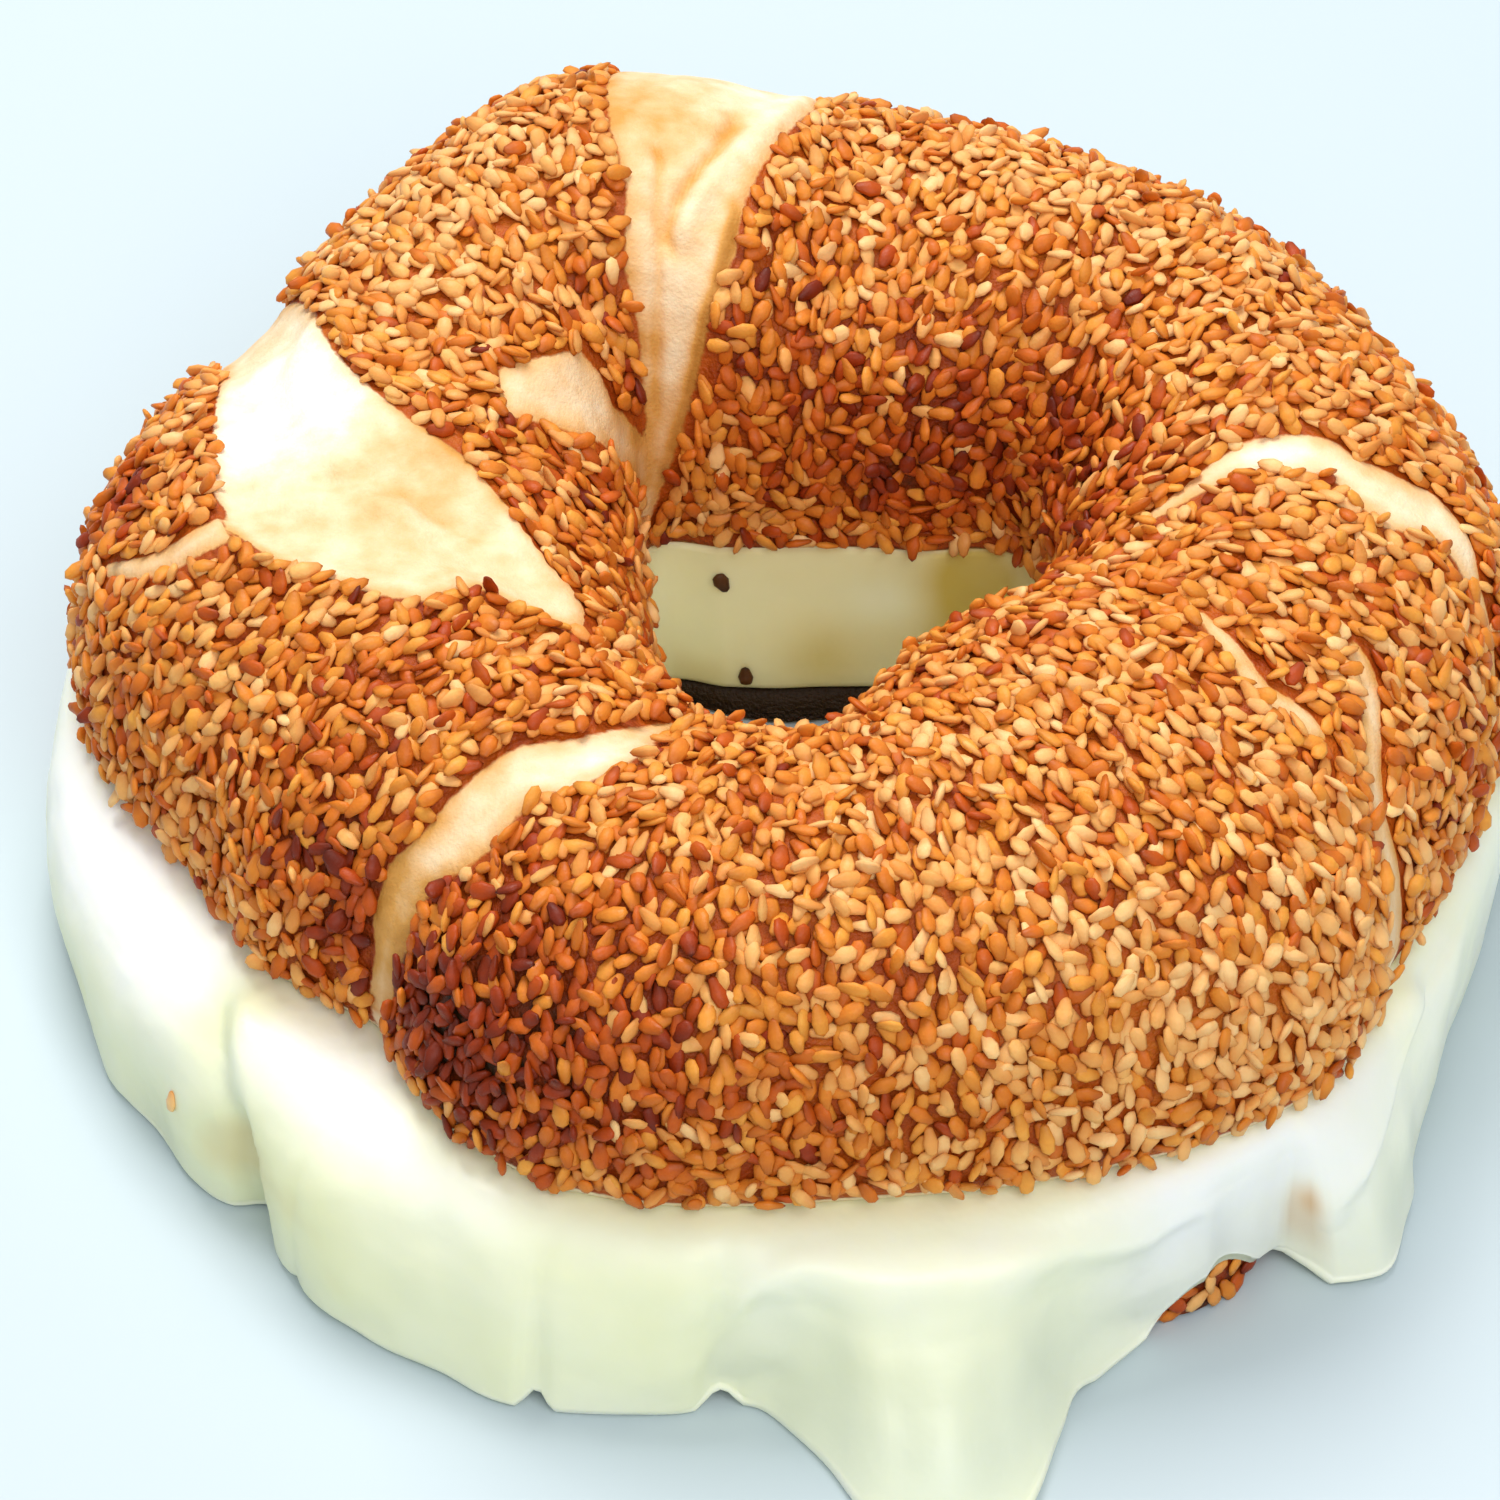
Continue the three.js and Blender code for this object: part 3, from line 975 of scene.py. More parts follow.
class Graph:
    """A material's nodes, with short calls to add and join them."""

    def __init__(self, name: str) -> None:
        """Starts a material with one Principled surface.

        Args:
            name: The material's name.
        """
        self.material = bpy.data.materials.new(name)
        self.material.use_nodes = True
        self.tree = self.material.node_tree
        self.tree.nodes.clear()
        output = self.tree.nodes.new("ShaderNodeOutputMaterial")
        self.surface = self.tree.nodes.new("ShaderNodeBsdfPrincipled")
        self.tree.links.new(self.surface.outputs["BSDF"], output.inputs["Surface"])
        self.place = self.tree.nodes.new("ShaderNodeTexCoord").outputs["Object"]

    def feed(self, socket: Socket, value: Socket | float | Sequence[float]) -> None:
        """Gives a socket what it takes.

        Args:
            socket: The socket.
            value: Another node's output, or a plain value.
        """
        if isinstance(value, Socket):
            self.tree.links.new(value, socket)
        else:
            socket.default_value = value

    def node(self, kind: str, output: str | int, inputs: dict[str | int, object], **settings: str) -> Socket:
        """Adds a node.

        Args:
            kind: Its type, without the words in front that all types share.
            output: Which of its outputs is wanted.
            inputs: What its sockets take.
            **settings: Its own properties.

        Returns:
            The output.
        """
        node = self.tree.nodes.new(f"ShaderNode{kind}")
        for name, value in settings.items():
            setattr(node, name, value)
        for name, value in inputs.items():
            self.feed(node.inputs[name], value)
        return node.outputs[output]

    def set(self, **values: Socket | float | Sequence[float]) -> None:
        """Sets the surface's sockets.

        Args:
            **values: What each takes, under its name in words joined by underscores.
        """
        sockets = {name.lower().replace(" ", "_"): socket for name, socket in self.surface.inputs.items()}
        for name, value in values.items():
            self.feed(sockets[name], value)

    def attribute(self, name: str) -> Socket:
        """A value kept on the mesh's corners."""
        return self.node("Attribute", "Fac", {}, attribute_name=name)

    def speckle(self, size: float, detail: float = 2.0) -> Socket:
        """Noise from 0 to 1 with lumps of a size in millimetres."""
        scaled = self.node("Mapping", "Vector", {"Scale": [1.0 / (size * MM)] * 3, "Vector": self.place})
        return self.node("TexNoise", "Fac", {"Scale": 1.0, "Detail": detail, "Vector": scaled})

    def uneven(self, size: float, detail: float, low: float, high: float) -> Socket:
        """Noise between two values, which it often reaches."""
        usual = (0.3, 0.7)
        return self.spread(self.speckle(size, detail), *usual, low, high)

    def math(self, operation: str, first: Socket, second: Socket) -> Socket:
        """Sum, product or another operation of two values."""
        return self.node("Math", 0, {0: first, 1: second}, operation=operation)

    def spread(self, value: Socket, low: float, high: float, start: float = 0.0, end: float = 1.0) -> Socket:
        """Takes values from low to high to values from start to end, and clamps the rest."""
        ends = {"From Min": low, "From Max": high, "To Min": start, "To Max": end}
        return self.node("MapRange", "Result", {"Value": value, **ends})

    def ramp(self, value: Socket, places: Sequence[float], colours: Sequence[Colour]) -> Socket:
        """Adds a colour ramp.

        Args:
            value: Where along the ramp.
            places: Places of its stops, from 0 to 1.
            colours: Their colours.

        Returns:
            The colour there.
        """
        colour = self.node("ValToRGB", "Color", {"Fac": value})
        elements = colour.node.color_ramp.elements
        elements[0].position, elements[-1].position = places[0], places[-1]
        for place in places[1:-1]:
            elements.new(place)
        for element, each in zip(elements, colours):
            element.color = each
        return colour

    def mix(self, share: Socket, first: Socket | Colour, second: Socket | Colour) -> Socket:
        """Blend of two colours."""
        return self.node("Mix", 2, {0: share, 6: first, 7: second}, data_type="RGBA")

    def bump(self, height: Socket, depth: float) -> Socket:
        """Normal of a relief whose height from 0 to 1 stands for a depth in millimetres."""
        return self.node("Bump", "Normal", {"Distance": depth * MM, "Strength": 1.0, "Height": height})


@dataclass(frozen=True)
class CrustFinish:
    """Baked crust with a syrup glaze, which turns to bare dough at the seams and crumb at the cut."""

    name: str
    # The glaze's last colour, near-black, serves the most toasted crust and also the painted shade in the
    # hole.
    glaze: tuple[Colour, ...] = (tone(210, 124, 32), tone(182, 84, 12), tone(146, 52, 4), tone(48, 30, 8))
    glaze_stops: tuple[float, ...] = (0.0, 0.35, 0.68, 1.0)
    dough: tuple[Colour, ...] = (
        tone(186, 126, 48), tone(216, 156, 78), tone(233, 190, 136), tone(243, 219, 180), tone(254, 246, 222),
    )
    dough_stops: tuple[float, ...] = (0.0, 0.25, 0.5, 0.75, 1.0)
    edge: tuple[float, float] = (0.4, 0.6)
    grain_depth: float = 0.22

    def build(self) -> bpy.types.Material:
        """Makes the material, which reads how toasted, bare and creamy the crust is.

        Returns:
            The material.
        """
        graph = Graph(self.name)
        fine = graph.speckle(size=0.9, detail=3.0)
        frayed = graph.spread(fine, low=0.3, high=0.7, start=-0.1, end=0.1)
        blotches = graph.math("ADD", graph.uneven(size=6.0, detail=3.0, low=-0.16, high=0.16), frayed)
        toast = graph.math("ADD", graph.attribute("toast"), blotches)
        marbling = graph.uneven(size=3.2, detail=4.0, low=-0.13, high=0.13)
        cream = graph.math("ADD", graph.attribute("cream"), marbling)
        glaze = graph.ramp(toast, self.glaze_stops, self.glaze)
        dough = graph.ramp(cream, self.dough_stops, self.dough)
        ragged = graph.math("ADD", graph.attribute("bare"), frayed)
        grain = graph.math("ADD", fine, graph.speckle(size=0.35))
        smoother = graph.spread(ragged, *self.edge, start=1.0, end=0.4)
        graph.set(
            base_color=graph.mix(graph.spread(ragged, *self.edge), glaze, dough),
            roughness=graph.spread(ragged, *self.edge, start=0.5, end=0.62),
            specular_ior_level=0.25,
            subsurface_weight=0.12,
            subsurface_radius=(1.0, 0.55, 0.3),
            subsurface_scale=1.2 * MM,
            normal=graph.bump(graph.math("MULTIPLY", grain, smoother), self.grain_depth),
        )
        return graph.material


@dataclass(frozen=True)
class SeedFinish:
    """Toasted sesame seed, darker at its tip and uneven from seed to seed."""

    name: str
    pale: Colour
    deep: Colour
    tip: Colour
    streak: float = 0.35
    grain_depth: float = 0.05

    def build(self) -> bpy.types.Material:
        """Makes the material, which reads each seed's shade and how near its tip is.

        Returns:
            The material.
        """
        graph = Graph(self.name)
        body = graph.mix(graph.attribute("shade"), self.pale, self.deep)
        streaks = graph.spread(graph.speckle(size=0.7, detail=3.0), low=0.35, high=0.7, end=self.streak)
        graph.set(
            base_color=graph.mix(graph.attribute("tip"), graph.mix(streaks, body, self.deep), self.tip),
            roughness=graph.uneven(size=1.5, detail=2.0, low=0.38, high=0.58),
            subsurface_weight=0.1,
            subsurface_radius=(1.0, 0.6, 0.35),
            subsurface_scale=0.8 * MM,
            specular_ior_level=0.25,
            normal=graph.bump(graph.speckle(size=0.3), self.grain_depth),
        )
        return graph.material


@dataclass(frozen=True)
class CheeseFinish:
    """Melted white cheese: smooth, soft to light, creamier in its thick runs, with painted shade where it
    hangs in shade.
    """

    name: str = "melted_cheese"
    # The skirt's last colour, a yellow, serves thick runs and also painted shade in the fold's valley.
    skirt: tuple[Colour, ...] = (
        tone(255, 254, 244), tone(249, 250, 219), tone(241, 241, 193), tone(222, 200, 124),
    )
    skirt_stops: tuple[float, ...] = (0.0, 0.35, 0.7, 1.0)
    # The wall's olive serves the cheese's own whey and also painted shade low in the hole and at its right
    # side.
    wall: tuple[Colour, ...] = (tone(255, 252, 206), tone(215, 191, 86))
    wall_stops: tuple[float, ...] = (0.0, 1.0)
    # Painted shade: a grey-green laid over the skirt where it hangs in shade.
    thin: Colour = tone(214, 221, 199)
    tan: Colour = tone(214, 160, 96)
    grain_depth: float = 0.1

    def build(self) -> bpy.types.Material:
        """Makes the material, which reads how thick and how stained the cheese is, and where shade is painted
        on it.

        Returns:
            The material.
        """
        graph = Graph(self.name)
        clouds = graph.uneven(size=14.0, detail=3.0, low=-0.12, high=0.12)
        thick = graph.math("ADD", graph.attribute("thick"), clouds)
        skirt = graph.ramp(thick, self.skirt_stops, self.skirt)
        wall = graph.ramp(thick, self.wall_stops, self.wall)
        body = graph.mix(graph.attribute("stain"), graph.mix(graph.attribute("wall"), skirt, wall), self.tan)
        graph.set(
            base_color=graph.mix(graph.attribute("thin"), body, self.thin),
            roughness=graph.uneven(size=5.0, detail=2.0, low=0.3, high=0.46),
            subsurface_weight=0.4,
            subsurface_radius=(1.0, 0.92, 0.62),
            subsurface_scale=1.6 * MM,
            specular_ior_level=0.45,
            normal=graph.bump(graph.speckle(size=2.6), self.grain_depth),
        )
        return graph.material


@dataclass(frozen=True)
class FloorFinish:
    """Plain pale matt board."""

    name: str = "pale_board"
    colour: Colour = tone(194, 207, 213)
    roughness: float = 0.6

    def build(self) -> bpy.types.Material:
        """Makes the material.

        Returns:
            The material.
        """
        graph = Graph(self.name)
        graph.set(base_color=self.colour, roughness=self.roughness)
        return graph.material


# ---- Seeds ----


@dataclass(frozen=True)
class Patchwork:
    """A value from 0 to 1 over a surface: a plain level with soft spots added.

    Attributes:
        plain: The level between the spots.
        spots: (angle, place along the section, half sizes each way, amount) of each spot.
    """

    plain: float
    spots: Rows = ()

    def level(self, angles: Array, places: Array) -> Array:
        """Adds the spots up.

        Args:
            angles: Degrees round the ring.
            places: Places along the section: stations, heights or hundredths of the skirt.

        Returns:
            The values there.
        """
        added = sum(
            amount * np.exp(-((turn(angle, angles) / across) ** 2 + ((places - place) / along) ** 2))
            for angle, place, across, along, amount in self.spots
        )
        return np.clip(self.plain + added + 0.0 * (angles + places), 0.0, 1.0)


class Tone(Enum):
    """Kinds of seed by how much they are toasted: name, lowest browning, and colours."""

    STRAW = ("seeds_straw", -math.inf, tone(248, 202, 138), tone(234, 168, 92), tone(200, 122, 50))
    PALE = ("seeds_pale", 0.26, tone(242, 182, 104), tone(226, 144, 64), tone(186, 102, 34))
    GOLDEN = ("seeds_golden", 0.4, tone(238, 164, 66), tone(214, 122, 34), tone(160, 78, 14))
    AMBER = ("seeds_amber", 0.53, tone(226, 134, 42), tone(198, 96, 20), tone(140, 58, 8))
    TOASTED = ("seeds_toasted", 0.68, tone(208, 102, 24), tone(174, 66, 10), tone(114, 38, 6))
    DARK = ("seeds_dark", 0.86, tone(164, 58, 12), tone(116, 34, 6), tone(66, 18, 4))
    BURNT = ("seeds_burnt", math.inf, tone(104, 62, 26), tone(74, 42, 16), tone(44, 24, 8))

    @property
    def label(self) -> str:
        """Name of the pieces of this kind."""
        return self.value[0]

    @property
    def start(self) -> float:
        """Lowest browning of this kind."""
        return self.value[1]

    def finish(self) -> SeedFinish:
        """The kind's finish."""
        return SeedFinish(self.label, *self.value[2:])


@dataclass
class Spread:
    """Places on a crust where seeds can lie, in millimetres."""

    points: Array
    normals: Array
    down: Array
    angles: Array
    stations: Array

    def pick(self, chosen: Array) -> "Spread":
        """The chosen places only."""
        return Spread(*(values[chosen] for values in vars(self).values()))

    def thinned(self, spacing: float) -> "Spread":
        """Drops each place that is too near to one kept before it.

        Args:
            spacing: The least distance, in millimetres, which is also the side of the search's cells.

        Returns:
            The places that are kept.
        """
        cells: dict[tuple[int, int, int], list[list[float]]] = {}
        steps = [(x, y, z) for x in (-1, 0, 1) for y in (-1, 0, 1) for z in (-1, 0, 1)]
        limit = spacing * spacing
        kept = []
        keys = np.floor(self.points / spacing).astype(int).tolist()
        for index, (point, key) in enumerate(zip(self.points.tolist(), keys)):
            near = (
                other
                for step in steps
                for other in cells.get((key[0] + step[0], key[1] + step[1], key[2] + step[2]), ())
            )
            if any(sum((a - b) ** 2 for a, b in zip(point, other)) < limit for other in near):
                continue
            cells.setdefault(tuple(key), []).append(point)
            kept.append(index)
        return self.pick(np.array(kept, int))


@dataclass
class Bed:
    """A stretch of crust as a grid of (rings, columns) points with its angles and stations."""

    points: Array
    angles: Array
    stations: Array
    columns: slice

    def sprinkle(self, count: int, chance: np.random.Generator) -> Spread:
        """Picks random places, evenly over the crust's area.

        Args:
            count: How many places.
            chance: The source of random numbers.

        Returns:
            The places with their normals and the way down the crust.
        """
        normals = Bench.normals(self.points)
        columns = np.arange(self.points.shape[1])[self.columns]
        first, last = columns[:-1], columns[1:]
        corner = self.points[:, first]
        beside = np.roll(self.points, -1, axis=0)[:, first]
        above = self.points[:, last]
        area = np.linalg.norm(np.cross(beside - corner, above - corner), axis=-1)
        cell = chance.choice(area.size, size=count, p=(area / area.sum()).ravel())
        ring, step = np.unravel_index(cell, area.shape)
        column, further = first[step], last[step]
        next_ring = (ring + 1) % len(self.points)
        along, over = chance.random((2, count, 1))

        def blend(values: Array) -> Array:
            """Value between the cell's four corners."""
            ends = (lerp(values[ring, each], values[next_ring, each], along) for each in (column, further))
            return lerp(*ends, over)

        outward = blend(normals)
        outward /= np.linalg.norm(outward, axis=-1, keepdims=True)
        down = self.points[ring, column] - self.points[ring, further]
        down -= outward * np.sum(down * outward, axis=-1, keepdims=True)
        down /= np.linalg.norm(down, axis=-1, keepdims=True)
        degrees = 360.0 / len(self.points)
        return Spread(
            points=blend(self.points),
            normals=outward,
            down=down,
            angles=self.angles[ring] + degrees * along[:, 0],
            stations=lerp(self.stations[column], self.stations[further], over[:, 0]),
        )


@dataclass
class Layer:
    """One scattering of seeds over a crust.

    Attributes:
        lift: How far it lies above the crust, in millimetres.
        tilt: Spread of the seeds' tilt along their length, in degrees.
        roll: Spread of the seeds' roll about their length, in degrees.
        spacing: Least distance between two seeds, in millimetres.
        share: Share of the places that are kept.
    """

    lift: float
    tilt: float
    roll: float
    spacing: float = 0.0
    share: float = 1.0


@dataclass
class SeedMould:
    """One sesame seed, a flat teardrop, that all the others are copied from.

    Attributes:
        length: Its length, in millimetres.
        width: Its width.
        thickness: Its thickness.
        sides: Sides of its section.
        rows: Rows of faces along it.
        bands: (place along a seed of length 1, scale, shift along it) of each ring of corners.
        band_reach: Half width of a band.
        corners: The modelled seed's corners in millimetres, with its length along X.
        faces: Its faces.
    """

    length: float = 2.65
    width: float = 1.45
    thickness: float = 0.75
    sides: int = 8
    rows: int = 4
    bands: Rows = ((0.354, 0.78, 0.03), (0.0, 1.04, -0.05), (-0.354, 1.12, -0.02))
    band_reach: float = 0.13
    corners: Array = field(init=False)
    faces: list[list[int]] = field(init=False)

    def __post_init__(self) -> None:
        """Models the seed by hand and takes it off the bench."""
        Bench.clear()
        along_x = (0.0, math.radians(90.0), 0.0)
        bpy.ops.mesh.primitive_uv_sphere_add(
            segments=self.sides, ring_count=self.rows, radius=0.5 * MM, rotation=along_x
        )
        seed = Bench.name("seed_mould")
        for place, narrow, shift in self.bands:
            self.narrow(seed, place * MM, narrow, shift * MM)
        Bench.take(seed)
        bpy.ops.object.mode_set(mode="EDIT")
        bpy.ops.mesh.select_all(action="SELECT")
        bpy.ops.transform.resize(
            value=(self.length, self.width, self.thickness), center_override=(0.0, 0.0, 0.0)
        )
        bpy.ops.object.mode_set(mode="OBJECT")
        self.corners = Bench.read(seed)
        # Blender lists a new sphere's faces in an order that differs from run to run.
        self.faces = sorted(list(face.vertices) for face in seed.data.polygons)
        bpy.data.objects.remove(seed)

    def narrow(self, seed: bpy.types.Object, place: float, amount: float, shift: float) -> None:
        """Scales one band of the seed about its length and moves it along it.

        Args:
            seed: The seed, with its length along X.
            place: Where the band is along X.
            amount: Scale of the band.
            shift: How far it then moves along X.
        """
        Bench.take(seed)
        bpy.ops.object.mode_set(mode="EDIT")
        bpy.ops.mesh.select_all(action="DESELECT")
        bpy.ops.object.mode_set(mode="OBJECT")
        for corner in seed.data.vertices:
            corner.select = abs(corner.co.x - place) < self.band_reach * MM
        bpy.ops.object.mode_set(mode="EDIT")
        bpy.ops.mesh.select_mode(type="VERT")
        bpy.ops.transform.resize(value=(1.0, amount, amount), center_override=(place, 0.0, 0.0))
        bpy.ops.transform.translate(value=(shift, 0.0, 0.0))
        bpy.ops.object.mode_set(mode="OBJECT")


@dataclass(kw_only=True)
class Seeds:
    """Sesame seeds on one of the CAD's nodes, joined into a piece for each tone.

    Attributes:
        label: First word of the pieces' names.
        node: The CAD node they lie on.
        mould: The seed they are copied from.
        number: Start of their random numbers.
        combed: Share of them that lie down the slope.
    """

    label: str
    node: str
    mould: SeedMould
    number: int
    combed: float = 0.0

    def copies(self, layer: Layer, spread: Spread, chance: np.random.Generator) -> Array:
        """Copies the seed to each place, turned, tilted and sized at random.

        Args:
            layer: How the seeds lie.
            spread: Their places.
            chance: The source of random numbers.

        Returns:
            Their (seeds, corners, 3) points in millimetres, none of them below the plate.
        """
        comb_spread, size_spread, whole_spread = 0.35, 0.07, 0.05
        raised_flat, raised_on_end = 0.3, 0.2
        count = len(spread.angles)
        heading = chance.uniform(0.0, np.pi, count)
        combed = chance.normal(0.0, comb_spread, count)
        heading = np.where(chance.random(count) < self.combed, combed, heading)[:, None]
        side = np.cross(spread.normals, spread.down)
        length = np.cos(heading) * spread.down + np.sin(heading) * side
        length *= chance.choice([-1.0, 1.0], count)[:, None]
        pitch = np.radians(chance.normal(0.0, layer.tilt, (count, 1)))
        roll = np.radians(chance.normal(0.0, layer.roll, (count, 1)))
        across = np.cross(spread.normals, length)
        up = spread.normals * np.cos(pitch) - length * np.sin(pitch)
        length = length * np.cos(pitch) + spread.normals * np.sin(pitch)
        across, up = across * np.cos(roll) + up * np.sin(roll), up * np.cos(roll) - across * np.sin(roll)
        sizes = chance.normal(1.0, size_spread, (count, 3)) * chance.normal(1.0, whole_spread, (count, 1))
        on_end = np.abs(np.sin(pitch)) * self.mould.length + np.abs(np.sin(roll)) * self.mould.width
        raised = raised_flat * self.mould.thickness + layer.lift + raised_on_end * on_end
        centres = spread.points + spread.normals * raised
        axes = np.stack([length, across, up], axis=1) * sizes[:, :, None]
        shapes = centres[:, None, :] + np.einsum("vk,nkj->nvj", self.mould.corners, axes)
        shapes[..., 2] += np.maximum(-shapes[..., 2].min(axis=1), 0.0)[:, None]
        return shapes

    def join(self, shapes: Array, kinds: Array, chance: np.random.Generator) -> None:
        """Joins the seeds of each tone into a piece.

        Args:
            shapes: Corners of each seed, in millimetres.
            kinds: Place of each seed's tone among the tones.
            chance: The source of random numbers.
        """
        for index, kind in enumerate(Tone):
            if np.any(kinds == index):
                self.piece(kind, shapes[kinds == index], chance)

    def piece(self, kind: Tone, shapes: Array, chance: np.random.Generator) -> None:
        """Makes one piece.

        Args:
            kind: Its tone.
            shapes: Corners of each seed, in millimetres.
            chance: The source of random numbers.
        """
        tip_start = 0.55
        corners, faces = self.mould.corners, self.mould.faces
        count, size = shapes.shape[:2]
        loops = np.concatenate(faces)
        starts = np.cumsum([0] + [len(face) for face in faces[:-1]])
        steps = np.arange(count)[:, None]
        name = f"{self.label}_{kind.label}"
        mesh = bpy.data.meshes.new(name)
        mesh.vertices.add(count * size)
        mesh.vertices.foreach_set("co", (shapes * MM).astype(np.float32).ravel())
        mesh.loops.add(count * len(loops))
        mesh.loops.foreach_set("vertex_index", (loops + steps * size).astype(np.int32).ravel())
        mesh.polygons.add(count * len(faces))
        mesh.polygons.foreach_set("loop_start", (starts + steps * len(loops)).astype(np.int32).ravel())
        mesh.polygons.foreach_set("use_smooth", np.ones(count * len(faces), bool))
        mesh.update(calc_edges=True)
        piece = bpy.data.objects.new(name, mesh)
        bpy.context.scene.collection.objects.link(piece)
        reach = corners[:, 0] / np.abs(corners[:, 0]).max()
        Bench.mark(piece, "shade", np.repeat(chance.random(count), size))
        Bench.mark(piece, "tip", np.tile(smoothstep(reach, tip_start, 1.0), count))
        Bench.finish(piece, kind.finish().build(), "crust", self.node)


@dataclass(kw_only=True)
class SeedCoat(Seeds):
    """A coat of seeds, scattered over a bed of crust.

    Attributes:
        bed: The stretch of crust.
        layers: The scatterings, from the lowest up.
        browning: How toasted the seeds are.
        bare: Chance that a place takes no seed.
        tries: Places tried for a whole layer.
        variety: Spread of the browning from seed to seed.
    """

    bed: Bed
    layers: tuple[Layer, ...]
    browning: Patchwork
    bare: Callable[[Spread], Array]
    tries: int
    variety: float = 0.17

    def build(self) -> None:
        """Scatters the seeds and makes the pieces."""
        chance = np.random.default_rng(self.number)
        spreads, shapes, levels = [], [], []
        for layer in self.layers:
            spread = self.bed.sprinkle(int(self.tries * layer.share), chance)
            clear = chance.random(len(spread.angles)) > self.bare(spread)
            spreads.append(spread.pick(clear).thinned(layer.spacing))
        for layer, spread in zip(self.layers, spreads):
            shapes.append(self.copies(layer, spread, chance))
            level = self.browning.level(spread.angles, spread.stations)
            levels.append(level + chance.normal(0.0, self.variety, len(level)))
        starts = [kind.start for kind in Tone]
        kinds = np.searchsorted(starts, np.concatenate(levels), side="right") - 1
        self.join(np.concatenate(shapes), kinds, chance)


# ---- The three pieces ----


@dataclass
class TopHalf:
    """Upper half: lobes of seeded crust parted by bare dough, over a flat cut face.

    Attributes:
        form: Its form.
        rings: Sections round the ring.
        columns: Corners of a section.
        arch_columns: How many of them are on the crust.
        lumps: Height of the crust's soft lumps.
        lump_size: Their size.
        swell: Share of the seeds' room that the bare dough fills.
        seed_room: How far the crust lies below the form, to make room for seeds.
        ragged: How ragged the coat's edge is at the seams.
        crumb_line: Height of the bare crumb over the cut, on the outside.
        browning: How toasted crust and seeds are, by station, with one spot of paler seeds painted as
            highlights.
        cream: How pale the bare dough is, by station.
    """

    form: TopForm
    rings: int = 600
    columns: int = 150
    arch_columns: int = 130
    lumps: float = 0.9
    lump_size: float = 9.0
    swell: float = 0.6
    seed_room: float = 1.2
    ragged: float = 0.6
    crumb_line: float = 0.55
    browning: Patchwork = Patchwork(0.45, (
        (65, 150, 40, 24, 0.29), (62, 162, 30, 16, 0.05), (10, 135, 26, 22, 0.2),
        (50, 85, 42, 22, -0.14), (131, 82, 20, 26, -0.2), (175, 140, 34, 18, 0.14),
        (172, 42, 5, 8, 0.4), (222, 34, 7, 16, 0.42), (213, 70, 14, 24, 0.08), (240, 25, 10, 22, 0.5),
        (252, 45, 12, 26, 0.25), (268, 22, 26, 14, 0.1), (292, 78, 26, 28, -0.07),
        (345, 60, 18, 45, -0.04), (304, 27, 20, 18, -0.27), (217, 95, 10, 12, 0.08),
        # Painted highlight: paler seeds in the dark spot stand for glints there.
        (221.5, 30.5, 2.2, 5, -0.5),
    ))
    cream: Patchwork = Patchwork(0.62, (
        (163, 72, 12, 16, 0.7), (173, 106, 10, 8, -0.15), (182, 98, 14, 12, -0.12),
        (106, 86, 6, 15, -0.26), (93, 70, 5, 14, 0.15), (196, 106, 5, 6, 0.12), (230, 34, 6, 18, -0.3),
        (244, 92, 6, 16, 0.27), (364, 94, 5, 12, 0.4), (360, 56, 6, 14, 0.1), (327, 40, 6, 20, -0.05),
        (141, 130, 8, 12, 0.05), (125, 152, 6, 10, -0.2),
    ))

    def inside_seam(self, angles: Array, stations: Array) -> Array:
        """Distance inside the nearest seam in millimetres, negative on the crust."""
        radii, _ = self.form.section(angles, stations)
        return np.max([seam.inside(angles, stations, radii) for seam in self.form.seams], axis=0)

    def bareness(self, angles: Array, stations: Array) -> Array:
        """Works out how bare the crust is.

        Args:
            angles: Degrees round the ring.
            stations: Stations of the places.

        Returns:
            Values from 0 for glazed over 0.5 at an edge to 1 for dough or crumb.
        """
        seam_edge, crumb_edge = 1.4, 1.2
        _, heights = self.form.section(angles, stations)
        line = np.where(stations < 90.0, self.crumb_line, 0.0)
        crumb = 0.5 + (line - (heights - self.form.ring.cut)) / crumb_edge
        return np.clip(np.maximum(0.5 + self.inside_seam(angles, stations) / seam_edge, crumb), 0.0, 1.0)

    def creaminess(self, angles: Array, stations: Array) -> Array:
        """Works out how pale the bare dough is.

        Args:
            angles: Degrees round the ring.
            stations: Stations of the places.

        Returns:
            Values from 0 for golden over 0.5 for straw to 1 for white.
        """
        edge_brown, edge_reach = 0.3, (-0.5, 2.4)
        crumb_pale, crumb_end = 0.16, (4.0, 8.0)
        inside = self.inside_seam(angles, stations)
        edge = edge_brown * (1.0 - smoothstep(inside, *edge_reach)) * (stations > crumb_end[1])
        crumb = crumb_pale * (1.0 - smoothstep(stations, *crumb_end))
        folds = sum(crease.cream * crease.level(angles, stations) for crease in self.form.creases)
        return np.clip(self.cream.level(angles, stations) + folds - edge + crumb, 0.0, 1.0)

    def relief(self, angles: Array, stations: Array) -> Array:
        """Works out the seams' lips, steps and pleats.

        Args:
            angles: Degrees round the ring.
            stations: Stations of the places.

        Returns:
            Heights over the form, in millimetres.
        """
        lip_height, lip_place, lip_width = 0.45, 1.2, 1.1
        room_start, step_reach, fold_start = (0.0, 24.0), (-0.8, 0.8), (0.0, 1.5)
        inside = self.inside_seam(angles, stations)
        lip = lip_height * np.exp(-(((inside + lip_place) / lip_width) ** 2))
        room = self.seed_room * smoothstep(stations, *room_start)
        step = room * (1.0 - self.swell * smoothstep(inside, *step_reach))
        folds = sum(crease.height * crease.level(angles, stations) for crease in self.form.creases)
        return lip - step + folds * smoothstep(inside, *fold_start)

